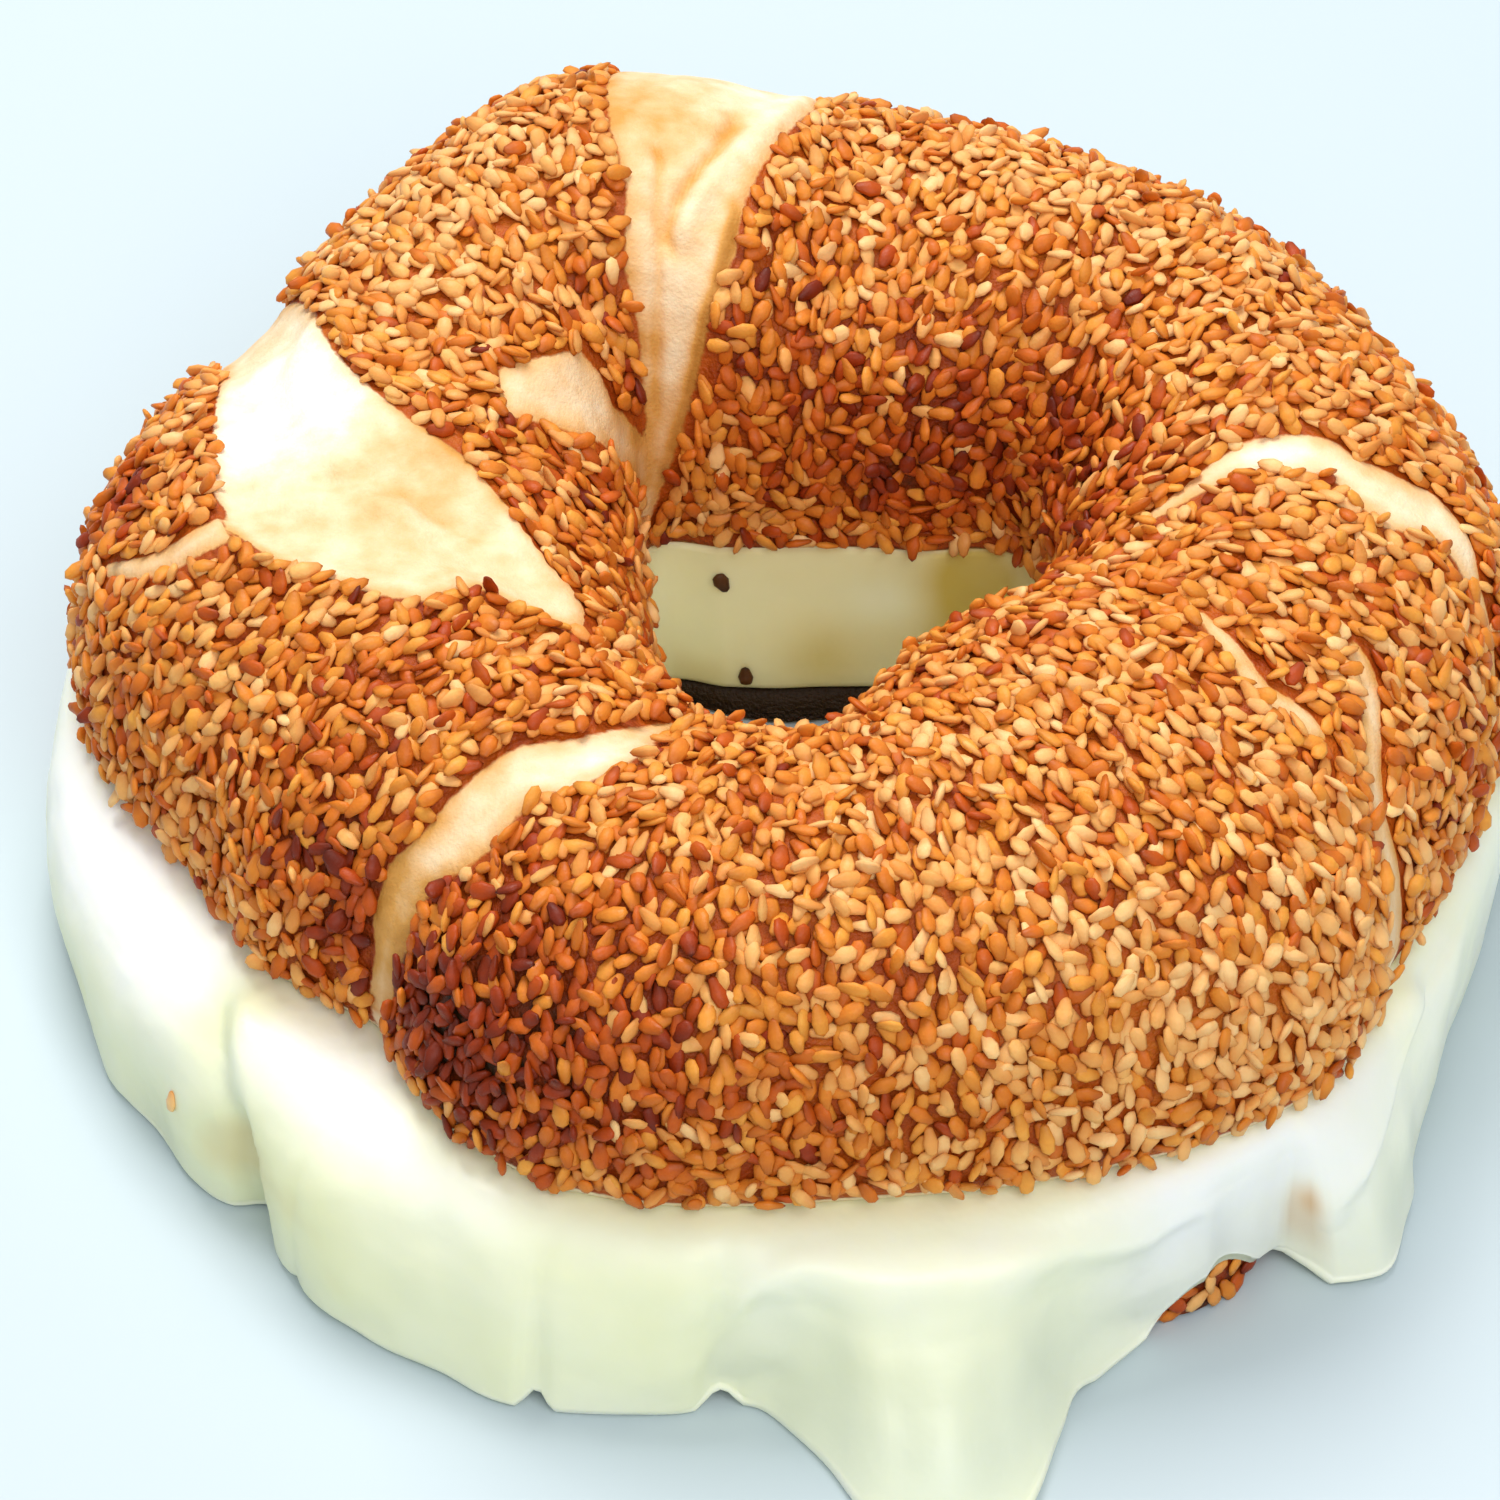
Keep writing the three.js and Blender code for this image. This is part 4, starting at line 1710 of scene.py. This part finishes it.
    def build(self) -> None:
        """Models the crust, and keeps the bed that its seeds lie on."""
        wrinkle, wrinkle_size = 0.13, 2.0
        rim, dough_edge = 6.0, 1.5
        tube = Tube.add("top_crust", self.form.ring, self.rings, self.columns)
        back_columns = self.columns - self.arch_columns
        arch = np.linspace(0.0, 180.0, self.arch_columns)
        back = np.arange(1, back_columns + 1) / (back_columns + 1)
        stations = np.concatenate([arch, np.full(back_columns, 180.0)])
        shares = np.concatenate([np.zeros(self.arch_columns), back])
        angles, grid = np.broadcast_arrays(tube.angles, stations[None, :])
        radii, heights = self.form.section(angles, grid)
        radii = lerp(radii, radii[:, :1], shares)
        points = self.form.ring.points(angles, radii, heights)
        on_crust = (shares == 0.0) * smoothstep(grid, 0.0, rim) * smoothstep(180.0 - grid, 0.0, rim)
        on_dough = smoothstep(self.inside_seam(angles, grid), 0.0, dough_edge)
        wrinkles = wrinkle * cloud(points, wrinkle_size, pattern=1) * on_dough
        relief = self.relief(angles, grid) * on_crust + wrinkles * on_crust
        tube.shape(points + Bench.normals(points) * relief[..., None])
        tube.roughen(self.lump_size, self.lumps, on_crust)
        tube.mark(
            bare=np.where(shares == 0.0, self.bareness(angles, grid), 1.0),
            cream=self.creaminess(angles, grid),
            toast=self.browning.level(angles, grid),
        )
        self.bed = Bed(tube.read(), angles[:, 0], stations, slice(0, self.arch_columns))
        Bench.finish(tube.piece, CrustFinish("top_crust").build(), "crust", "top_half")

    def bare(self, spread: Spread) -> Array:
        """Works out where the crust takes no seeds: in the seams, raggedly, and along the cut.

        Args:
            spread: The places.

        Returns:
            Chances from 0 to 1.
        """
        ragged_size, seam_reach, in_seam = 2.2, (-1.0, -0.5), 0.9999
        rim, rim_edge, inner_rim = 4.0, 1.2, 182.0
        rim_uneven, uneven_size = 2.0, 3.0
        inside = self.inside_seam(spread.angles, spread.stations)
        inside = inside + self.ragged * cloud(spread.points, ragged_size, pattern=3)
        from_edge = np.minimum(spread.stations, inner_rim - spread.stations)
        from_edge = from_edge + rim_uneven * cloud(spread.points, uneven_size, pattern=5)
        crumb = smoothstep(rim - from_edge, 0.0, rim_edge)
        return np.clip(in_seam * smoothstep(inside, *seam_reach) + crumb, 0.0, 1.0)

    def seeds(self, mould: SeedMould) -> SeedCoat:
        """The crust's coat: a dense layer, and a loose one over it.

        Args:
            mould: The seed.

        Returns:
            The coat.
        """
        dense = Layer(lift=0.0, tilt=10.0, roll=24.0, spacing=1.17)
        loose = Layer(lift=0.42, tilt=18.0, roll=34.0, spacing=1.95, share=0.5)
        return SeedCoat(
            label="top", node="top_half", mould=mould, number=11, combed=0.45,
            bed=self.bed, layers=(dense, loose), browning=self.browning, bare=self.bare, tries=90000,
        )


@dataclass
class BottomHalf:
    """Lower half: a seeded crust whose flat underside was baked on a tray.

    Attributes:
        form: Its form.
        cheese: The cheese's form, which covers most of it.
        rings: Sections round the ring.
        spans: Corners of a section on the outside, the cut, the hole's side and the underside.
        tray_gap: Height of the underside, which leaves room for its seeds.
        browning: How toasted the seeds on its sides are, by height, with paler seeds painted as light at the
            bare patch near 302 degrees.
        scorch: How uneven the underside's browning is.
        scorch_size: Size of its blotches, in millimetres.
        below_hem: Heights over the cheese's hem between which the outside's seeds end.
        below_cut: Heights between which they end below the cut.
        below_wall: Heights over the foot of the cheese in the hole between which its seeds end.
        bare_rim: How far the rim in the hole stands out where its seeds end.
        bare_round: Distances from the hole between which the underside's seeds start.
    """

    form: BaseForm
    cheese: CheeseForm
    rings: int = 420
    spans: tuple[int, int, int, int] = (26, 8, 14, 30)
    tray_gap: float = 0.4
    browning: Patchwork = Patchwork(0.5, (
        # Painted light: the paler spot at 302 degrees stands for light falling on the seeds below the hem.
        (90, 0, 360, 5, 0.2), (302, 2.5, 2.2, 4, -0.5), (304.6, 4, 1.2, 3, 0.3),
    ))
    scorch: float = 0.16
    scorch_size: float = 11.0
    below_hem: tuple[float, float] = (-1.0, -0.1)
    below_cut: tuple[float, float] = (12.2, 13.2)
    below_wall: tuple[float, float] = (-0.5, 0.5)
    bare_rim: tuple[float, float] = (1.0, 4.0)
    bare_round: tuple[float, float] = (1.5, 3.0)

    def __post_init__(self) -> None:
        """Works out which columns are on each stretch of the section."""
        ends = np.cumsum(self.spans)
        self.side, self.cut, self.hole, self.under = (
            slice(end - span, end) for span, end in zip(self.spans, ends)
        )

    def section(self, angles: Array) -> tuple[Array, Array]:
        """Works out the section, from the bottom of the outside over the cut face and back below.

        Args:
            angles: Degrees round the ring, one for each section.

        Returns:
            Radii of all the corners, and heights of the columns.
        """
        side, cut, hole, under = self.spans
        height, gap = self.form.ring.base_height, self.tray_gap
        up = gap + (height - gap) * (0.5 - 0.5 * np.cos(np.linspace(0.0, np.pi, side)))
        down = lerp(height, gap, np.linspace(0.0, 1.0, hole))
        inward, outward = (np.linspace(0.0, 1.0, count + 2)[1:-1] for count in (cut, under))
        radii = np.concatenate([
            self.form.outside(angles, up[None, :]),
            lerp(self.form.outside(angles, height), self.form.hole(angles, height), inward[None, :]),
            self.form.hole(angles, down[None, :]),
            lerp(self.form.hole(angles, gap), self.form.outside(angles, gap), outward[None, :]),
        ], axis=1)
        return radii, np.concatenate([up, np.full(cut, height), down, np.full(under, gap)])

    def toast(self, angles: Array, heights: Array) -> Array:
        """Works out how toasted the crust is: most round its foot, with painted shade as a near-black glaze
        in the hole at the back.

        Args:
            angles: Degrees round the ring, one for each section.
            heights: Heights of the columns.

        Returns:
            Values of all the corners, from 0, and 1 or more where shade is painted.
        """
        most, fresher, freshest_from = 0.95, 0.05, 8.0
        hole_shade, hole_shade_end = 1.2, (2.0, 5.0)
        below, below_edge, hole_edge, side_edge, rim_shade_edge = 0.46, 0.4, 0.1, 0.12, 0.14
        radius = 40.0
        toast = np.tile(most - fresher * np.minimum(heights, freshest_from), (self.rings, 1))
        # Painted shade: the rim at the foot of the hole's back goes near-black for the deep shade under the
        # cheese, past the real darker baking of its foot.
        rim_shade = self.form.hole_rim.height(angles) / self.form.hole_rim.reach
        toast[:, self.hole] += hole_shade * rim_shade * (1.0 - smoothstep(heights[None, self.hole], *hole_shade_end))
        across = np.linspace(0.0, 1.0, self.spans[-1])[None, :]
        edge = 1.0 - smoothstep(across, 0.0, hole_edge) * smoothstep(1.0 - across, 0.0, side_edge)
        near_hole = 1.0 - smoothstep(across, 0.0, rim_shade_edge)
        turned = np.radians(angles)
        places = radius * np.stack(np.broadcast_arrays(np.cos(turned), np.sin(turned), across), axis=-1)
        blotches = self.scorch * cloud(places, self.scorch_size, pattern=13)
        # The underside beside the hole takes the same painted shade.
        toast[:, self.under] = below + below_edge * edge + hole_shade * rim_shade * near_hole + blotches
        return toast

    def build(self) -> None:
        """Models the crust, and keeps the surface that its seeds lie on."""
        lumps, lump_size, foot, rim = 0.7, 7.0, (0.5, 3.0), (0.0, 2.0)
        crumb_bare, crumb_depth, pale = 0.936, 1.152, 0.55
        tube = Tube.add("bottom_crust", self.form.ring, self.rings, sum(self.spans))
        radii, heights = self.section(tube.angles)
        tube.shape(self.form.ring.points(tube.angles, radii, heights[None, :]))
        below_cut = self.form.ring.base_height - heights
        tube.roughen(lump_size, lumps, smoothstep(heights, *foot) * smoothstep(below_cut, *rim))
        crumb = crumb_bare * np.clip(1.0 - below_cut / crumb_depth, 0.0, 1.0)
        crumb[self.under] = 0.0
        tube.mark(bare=crumb, cream=np.full(len(heights), pale), toast=self.toast(tube.angles, heights))
        self.points, self.angles, self.heights = tube.read(), tube.angles[:, 0], heights
        Bench.finish(tube.piece, CrustFinish("bottom_crust").build(), "crust", "bottom_half")

    def bare_side(self, spread: Spread) -> Array:
        """Chance that a place on the outside takes no seed: where cheese covers it, or at the cut."""
        covered = smoothstep(spread.stations - self.cheese.hem(spread.angles), *self.below_hem)
        return np.clip(covered + smoothstep(spread.stations, *self.below_cut), 0.0, 1.0)

    def bare_hole(self, spread: Spread) -> Array:
        """Works out where the hole takes no seeds: where cheese covers it, and on the bare foot.

        Args:
            spread: The places.

        Returns:
            Chances from 0 to 1.
        """
        covered = smoothstep(spread.stations - self.cheese.hole_foot(spread.angles), *self.below_wall)
        rim = smoothstep(self.form.hole_rim.height(spread.angles), *self.bare_rim)
        return np.clip(covered + rim, 0.0, 1.0)

    def bare_under(self, spread: Spread) -> Array:
        """Chance that a place below takes no seed: close to the hole, whose foot is bare."""
        radii = np.hypot(*(spread.points[:, :2] - self.form.ring.axis).T)
        return 1.0 - smoothstep(radii - self.form.hole(spread.angles, self.tray_gap), *self.bare_round)

    def seeds(self, mould: SeedMould) -> list[SeedCoat]:
        """The coats on the outside, in the hole and on the underside.

        Args:
            mould: The seed.

        Returns:
            The coats.
        """
        loose = Layer(lift=0.0, tilt=9.0, roll=15.0, spacing=1.45)
        pressed = Layer(lift=-0.28, tilt=0.0, roll=0.0, spacing=3.8)
        below = slice(self.under.start - 1, self.under.stop)
        coats = (
            ("side", self.side, loose, self.browning, self.bare_side, 23, 26000, 0.3),
            ("hole", self.hole, loose, self.browning, self.bare_hole, 29, 8000, 0.0),
            ("under", below, pressed, Patchwork(0.6), self.bare_under, 31, 6000, 0.0),
        )
        return [
            SeedCoat(
                label=label, node="bottom_half", mould=mould, number=number, combed=combed,
                bed=Bed(self.points, self.angles, self.heights, columns), layers=(layer,),
                browning=browning, bare=bare, tries=tries,
            )
            for label, columns, layer, browning, bare, number, tries, combed in coats
        ]


@dataclass
class Cheese:
    """The filling: one piece of melted cheese through the whole ring.

    Attributes:
        form: Its form.
        rings: Sections round the ring.
        skirt_columns: Corners of a section on the skirt.
        lip_columns: Corners on the lip below it.
        back_columns: Corners on each side of the lower half.
        wall_columns: Corners on the wall in the hole.
        seat_columns: Corners below the upper half.
        cover: Least thickness of the skirt over the lower half.
        ease: How softly the skirt gives way to that thickness.
        slump: How unevenly the cheese hangs where it hasn't run.
        plate_gap: Height of its lowest places over the plate.
        strays: Angle, height and tone of each seed that has stuck to it.
        skirt_cream: How thick the skirt looks, with painted shade along its fold's valley, by hundredths of
            it.
        skirt_thin: How much painted grey-green shade is laid on it, by hundredths of it.
        skirt_tan: How tanned it is.
        wall_cream: How thick the wall in the hole looks, with painted shade low down and at its right side,
            by height.
    """

    form: CheeseForm
    rings: int = 648
    skirt_columns: int = 66
    lip_columns: int = 12
    back_columns: int = 8
    wall_columns: int = 20
    seat_columns: int = 12
    cover: float = 1.2
    ease: float = 0.4
    slump: float = 1.1
    plate_gap: float = 0.02
    strays: tuple[tuple[float, float, Tone], ...] = (
        (216.4, 8.8, Tone.STRAW), (108.4, 14.5, Tone.BURNT), (103.5, 3.4, Tone.BURNT),
    )
    # Partly painted shade: the yellow spots along the fold's valley, near 218 and 224 degrees, stand for the
    # shade in it.
    skirt_cream: Patchwork = Patchwork(0.3, (
        (200, 20, 24, 30, -0.35), (230, 14, 12, 22, -0.3), (254, 35, 10, 22, 0.2),
        (222, 80, 60, 34, 0.3), (218, 22, 3.5, 16, 0.65), (224, 62, 4.5, 26, 0.45),
        (231, 52, 7, 24, 0.25), (282, 60, 14, 30, 0.15), (305, 45, 14, 60, -0.35),
        (275, 4, 120, 10, 0.2),
    ))
    # Painted shade: grey-green on the tongue, the low lobes at the left, the fold's valley and the right
    # lobe, where they hang in shade.
    skirt_thin: Patchwork = Patchwork(0.0, (
        (281, 84, 13, 34, 0.9), (216, 95, 50, 18, 0.25), (218, 20, 3, 14, 0.3),
        (223.5, 60, 3, 24, 0.35), (317, 84, 7, 30, 0.6),
    ))
    skirt_tan: Patchwork = Patchwork(0.0, ((309.4, 61, 0.45, 8, 0.6), (309.1, 76, 0.8, 16, 0.55)))
    # Partly painted shade: the olive spots low on the wall and at its right side stand for shade there, over
    # the cheese's own whey tint.
    wall_cream: Patchwork = Patchwork(0.2, (
        (117, 11, 12, 7, -0.15), (82, 5.5, 13, 4, 0.6), (66, 12, 10, 2.5, -0.25), (114, 3, 9, 2.5, 0.4),
        (50, 15, 8, 6, 0.9), (48, 9, 10, 8, 0.5),
    ))

    def __post_init__(self) -> None:
        """Works out the section's columns, counted from the top of the skirt down and back inside."""
        self.front_columns = self.skirt_columns + self.lip_columns
        first_wall = self.front_columns + 2 * self.back_columns
        self.wall = slice(first_wall, first_wall + self.wall_columns)
        self.columns = first_wall + self.wall_columns + self.seat_columns

    def over(self, plain: float, skirt: Array | float, wall: Array | float) -> Array:
        """Lays values over the whole section.

        Args:
            plain: The value where nothing shows.
            skirt: The values on the skirt and its lip.
            wall: The values on the wall in the hole.

        Returns:
            A (rings, columns) grid, in the order of the tube.
        """
        grid = np.full((self.rings, self.columns), plain)
        grid[:, : self.front_columns] = skirt
        grid[:, self.wall] = wall
        return grid[:, ::-1]

    def surface(self, angles: Array, skirt: tuple[Array, Array], wall: tuple[Array, Array]) -> Array:
        """Closes the section round the skirt and the wall in the hole.

        Args:
            angles: Degrees round the ring, one for each section.
            skirt: The skirt's radii and heights.
            wall: The wall's radii and heights.

        Returns:
            Places in millimetres, as a grid in the order of the tube.
        """
        form, ring = self.form, self.form.ring
        hem_gap, foot_gap = 0.05, 0.4
        behind = np.linspace(0.0, 1.0, self.back_columns)[None, :]
        seat = ring.base_height + ring.gap
        back = lerp(form.hem(angles) + hem_gap, seat, behind)
        back_radii = form.base.outside(angles, np.minimum(back, ring.base_height)) + form.skin(back)
        hole = lerp(seat, form.hole_foot(angles) + foot_gap, behind)
        hole_radii = form.base.hole(angles, np.minimum(hole, ring.base_height)) - form.skin(hole)
        above = np.linspace(0.0, 1.0, self.seat_columns + 2)[None, 1:-1]
        seat_radii = lerp(wall[0][:, -1:], skirt[0][:, :1], above)
        radii = np.concatenate([skirt[0], back_radii, hole_radii, wall[0], seat_radii], axis=1)
        level = np.full_like(seat_radii, ring.cut - ring.gap)
        heights = np.concatenate([skirt[1], back, hole, wall[1], level], axis=1)
        return ring.points(angles, radii, heights)[:, ::-1]

    def hang(self, angles: Array, shares: Array, skirt: tuple[Array, Array]) -> Array:
        """Works out the skirt's relief, with the uneven slump of the cheese that hasn't run.

        Args:
            angles: Degrees round the ring, one for each section.
            shares: Shares down the skirt.
            skirt: The skirt's radii and heights.

        Returns:
            Heights over the plain skirt, in millimetres.
        """
        lump_size, least = 9.0, -0.4
        below_top, before_end = (0.0, 0.3), (0.1, 1.0)
        at_rest = np.clip(self.form.hem(angles) / self.form.hem_at_rest, 0.0, 1.0)
        at_rest = at_rest * smoothstep(shares, *below_top) * smoothstep(2.0 - shares, *before_end)
        lumps = np.maximum(cloud(self.form.ring.points(angles, *skirt), lump_size, pattern=7), least)
        return self.form.relief(angles, shares) + self.slump * lumps * at_rest

    def clear(self, points: Array) -> Array:
        """Moves the skirt's outer face out to where it covers the lower half.

        Args:
            points: Places in millimetres, as a grid in the order of the tube.

        Returns:
            The moved places.
        """
        run_reach, near_cut = (3.0, 9.0), (0.8, 1.0)
        ring = self.form.ring
        across, along = points[..., 0] - ring.axis[0], points[..., 1] - ring.axis[1]
        radii, angles = np.hypot(across, along), np.degrees(np.arctan2(along, across))
        above = np.clip((points[..., 2] - ring.base_height) / self.cover, 0.0, 1.0)
        least = self.form.base.outside(angles, points[..., 2]) + self.cover * np.sqrt(1.0 - above * above)
        skirt = np.arange(self.columns) >= self.columns - self.skirt_columns
        run = smoothstep(self.form.hem_at_rest - self.form.hem(angles), *run_reach)
        run = run * (1.0 - smoothstep(above, *near_cut))
        short = self.ease * np.logaddexp(0.0, (least - radii) / self.ease)
        out = np.where(skirt, short * run, 0.0)
        moved = points.copy()
        moved[..., 0] += out * across / radii
        moved[..., 1] += out * along / radii
        return moved

    def build(self) -> None:
        """Models the filling, and keeps the surface that stray seeds lie on."""
        hidden_thick, wall_softness = 0.6, 0.5
        below_top, before_lip = (0.1, 0.4), (0.9, 1.3)
        large, small = (13.0, 1.3), (4.0, 0.3)
        form = self.form
        tube = Tube.add("melted_cheese", form.ring, self.rings, self.columns)
        angles = tube.angles
        under = 1.0 + np.linspace(0.0, 1.0, self.lip_columns + 1)[1:]
        shares = np.concatenate([np.linspace(0.0, 1.0, self.skirt_columns), under])[None, :]
        wall_shares = np.linspace(0.0, 1.0, self.wall_columns)[None, :]
        skirt = form.skirt_section(angles, shares)
        wall = form.wall_section(angles, wall_shares)
        points = self.surface(angles, skirt, wall)
        relief = self.over(0.0, self.hang(angles, shares, skirt), 0.0)
        points = points + Bench.normals(points) * relief[..., None]
        points[..., 2] = np.maximum(points[..., 2], self.plate_gap)
        tube.shape(self.clear(points))
        soft = smoothstep(shares, *below_top) * (1.0 - smoothstep(shares, *before_lip)) * form.run(angles)
        softness = self.over(0.0, soft, wall_softness * np.sin(np.pi * wall_shares))
        for size, strength in (large, small):
            tube.roughen(size, strength, softness)
        skirt_places = 100.0 * shares
        thick = self.skirt_cream.level(angles, skirt_places), self.wall_cream.level(angles, wall[1])
        tube.mark(
            thick=self.over(hidden_thick, *thick),
            thin=self.over(0.0, self.skirt_thin.level(angles, skirt_places), 0.0),
            stain=self.over(0.0, self.skirt_tan.level(angles, skirt_places), 0.0),
            wall=self.over(0.0, 0.0, 1.0),
        )
        self.points, self.angles = tube.read(), angles[:, 0]
        Bench.finish(tube.piece, CheeseFinish().build(), "cheese", "cheese")

    def stray_seeds(self, mould: SeedMould) -> None:
        """Lays the few seeds that have stuck to the cheese, heads down.

        Args:
            mould: The seed.
        """
        hole_from, hole_to, least_slope = 20.0, 160.0, 0.2
        normals = Bench.normals(self.points)
        across = self.points[..., :2] - self.form.ring.axis
        radii = np.hypot(across[..., 0], across[..., 1])
        outside = radii > self.form.ring.strand_radius
        outward = np.sum(normals[..., :2] * across, axis=-1) * np.where(outside, 1.0, -1.0)
        facing = outward > least_slope * radii
        angles, heights, kinds = zip(*self.strays)
        chosen = []
        for angle, height in zip(angles, heights):
            in_hole = hole_from < angle < hole_to
            off = np.abs(self.points[..., 2] - height) + np.abs(turn(angle, self.angles))[:, None]
            chosen.append(np.argmin(np.where((outside != in_hole) & facing, off, np.inf)))
        places, upward = (values.reshape(-1, 3)[chosen] for values in (self.points, normals))
        down = np.array([(0.0, 0.0, -1.0)]) + upward * upward[:, 2:]
        down /= np.linalg.norm(down, axis=-1, keepdims=True)
        spread = Spread(places, upward, down, np.array(angles), np.array(heights))
        seeds = Seeds(label="stray", node="cheese", mould=mould, number=5, combed=1.0)
        chance = np.random.default_rng(seeds.number)
        shapes = seeds.copies(Layer(lift=-0.1, tilt=4.0, roll=8.0), spread, chance)
        seeds.join(shapes, np.array([list(Tone).index(kind) for kind in kinds]), chance)


# ---- Floor, light and camera ----


@dataclass(frozen=True)
class Softbox:
    """A square area light: place and aim in metres, its side and its power in watts."""

    name: str
    place: tuple[float, float, float]
    side: float
    power: float
    colour: tuple[float, float, float] = (1.0, 1.0, 1.0)
    aim: tuple[float, float, float] = (0.0, 0.0, 0.02)

    def build(self) -> None:
        """Adds the light, turned to its aim."""
        Bench.clear()
        bpy.ops.object.light_add(type="AREA", location=self.place)
        lamp = bpy.context.object
        lamp.name = self.name
        lamp.data.shape = "SQUARE"
        lamp.data.size = self.side
        lamp.data.energy = self.power
        lamp.data.color = self.colour
        way = Vector(self.aim) - Vector(self.place)
        lamp.rotation_euler = way.to_track_quat("-Z", "Y").to_euler()
        LOG.info("%s: %.1f W", self.name, self.power)


@dataclass
class Studio:
    """A plain pale floor, soft light and the camera, whose place is in millimetres."""

    floor_side: float = 6.0
    floor_drop: float = 0.02
    camera_place: tuple[float, float, float] = (-3.49, -425.78, 432.2)
    camera_tilt: float = 46.0
    lens: float = 158.4
    sensor: float = 36.0
    near: float = 0.01
    sky: Colour = tone(236, 244, 250)
    sky_strength: float = 0.5
    lamps: tuple[Softbox, ...] = (
        Softbox("window_light", place=(-0.12, 0.4, 0.85), side=0.5, power=7.8, colour=(1.0, 0.99, 0.97)),
        Softbox("front_fill", place=(0.18, -0.6, 0.75), side=0.6, power=4.7),
    )

    def build(self) -> None:
        """Lays the floor, lights it and places the camera."""
        self.lay_floor()
        self.light_sky()
        for lamp in self.lamps:
            lamp.build()
        self.place_camera()

    def lay_floor(self) -> None:
        """Adds the floor just below the ring."""
        Bench.clear()
        bpy.ops.mesh.primitive_plane_add(size=self.floor_side, location=(0.0, 0.0, -self.floor_drop * MM))
        floor = Bench.name("floor")
        floor.data.materials.append(FloorFinish().build())

    def light_sky(self) -> None:
        """Gives the world an even pale light, and renders their plain tones."""
        world = bpy.data.worlds.new("soft_sky")
        world.use_nodes = True
        background = world.node_tree.nodes["Background"]
        background.inputs["Color"].default_value = self.sky
        background.inputs["Strength"].default_value = self.sky_strength
        bpy.context.scene.world = world
        bpy.context.scene.view_settings.view_transform = "Standard"

    def place_camera(self) -> None:
        """Adds the camera and makes it the scene's own."""
        place = [each * MM for each in self.camera_place]
        bpy.ops.object.camera_add(location=place, rotation=(math.radians(self.camera_tilt), 0.0, 0.0))
        camera = bpy.context.object
        camera.name = "camera"
        camera.data.lens = self.lens
        camera.data.sensor_width = self.sensor
        camera.data.clip_start = self.near
        bpy.context.scene.camera = camera


def main() -> None:
    """Builds the simit and its setting."""
    logging.basicConfig(level=logging.INFO, format="%(name)s %(message)s")
    ring = Ring()
    top_form = TopForm(ring)
    base_form = BaseForm(ring, top_form)
    cheese_form = CheeseForm(ring, top_form, base_form)
    top = TopHalf(top_form)
    bottom = BottomHalf(base_form, cheese_form)
    cheese = Cheese(cheese_form)
    for piece in (top, bottom, cheese):
        piece.build()
    mould = SeedMould()
    cheese.stray_seeds(mould)
    for coat in (top.seeds(mould), *bottom.seeds(mould)):
        coat.build()
    Studio().build()


if __name__ == "__main__":
    main()
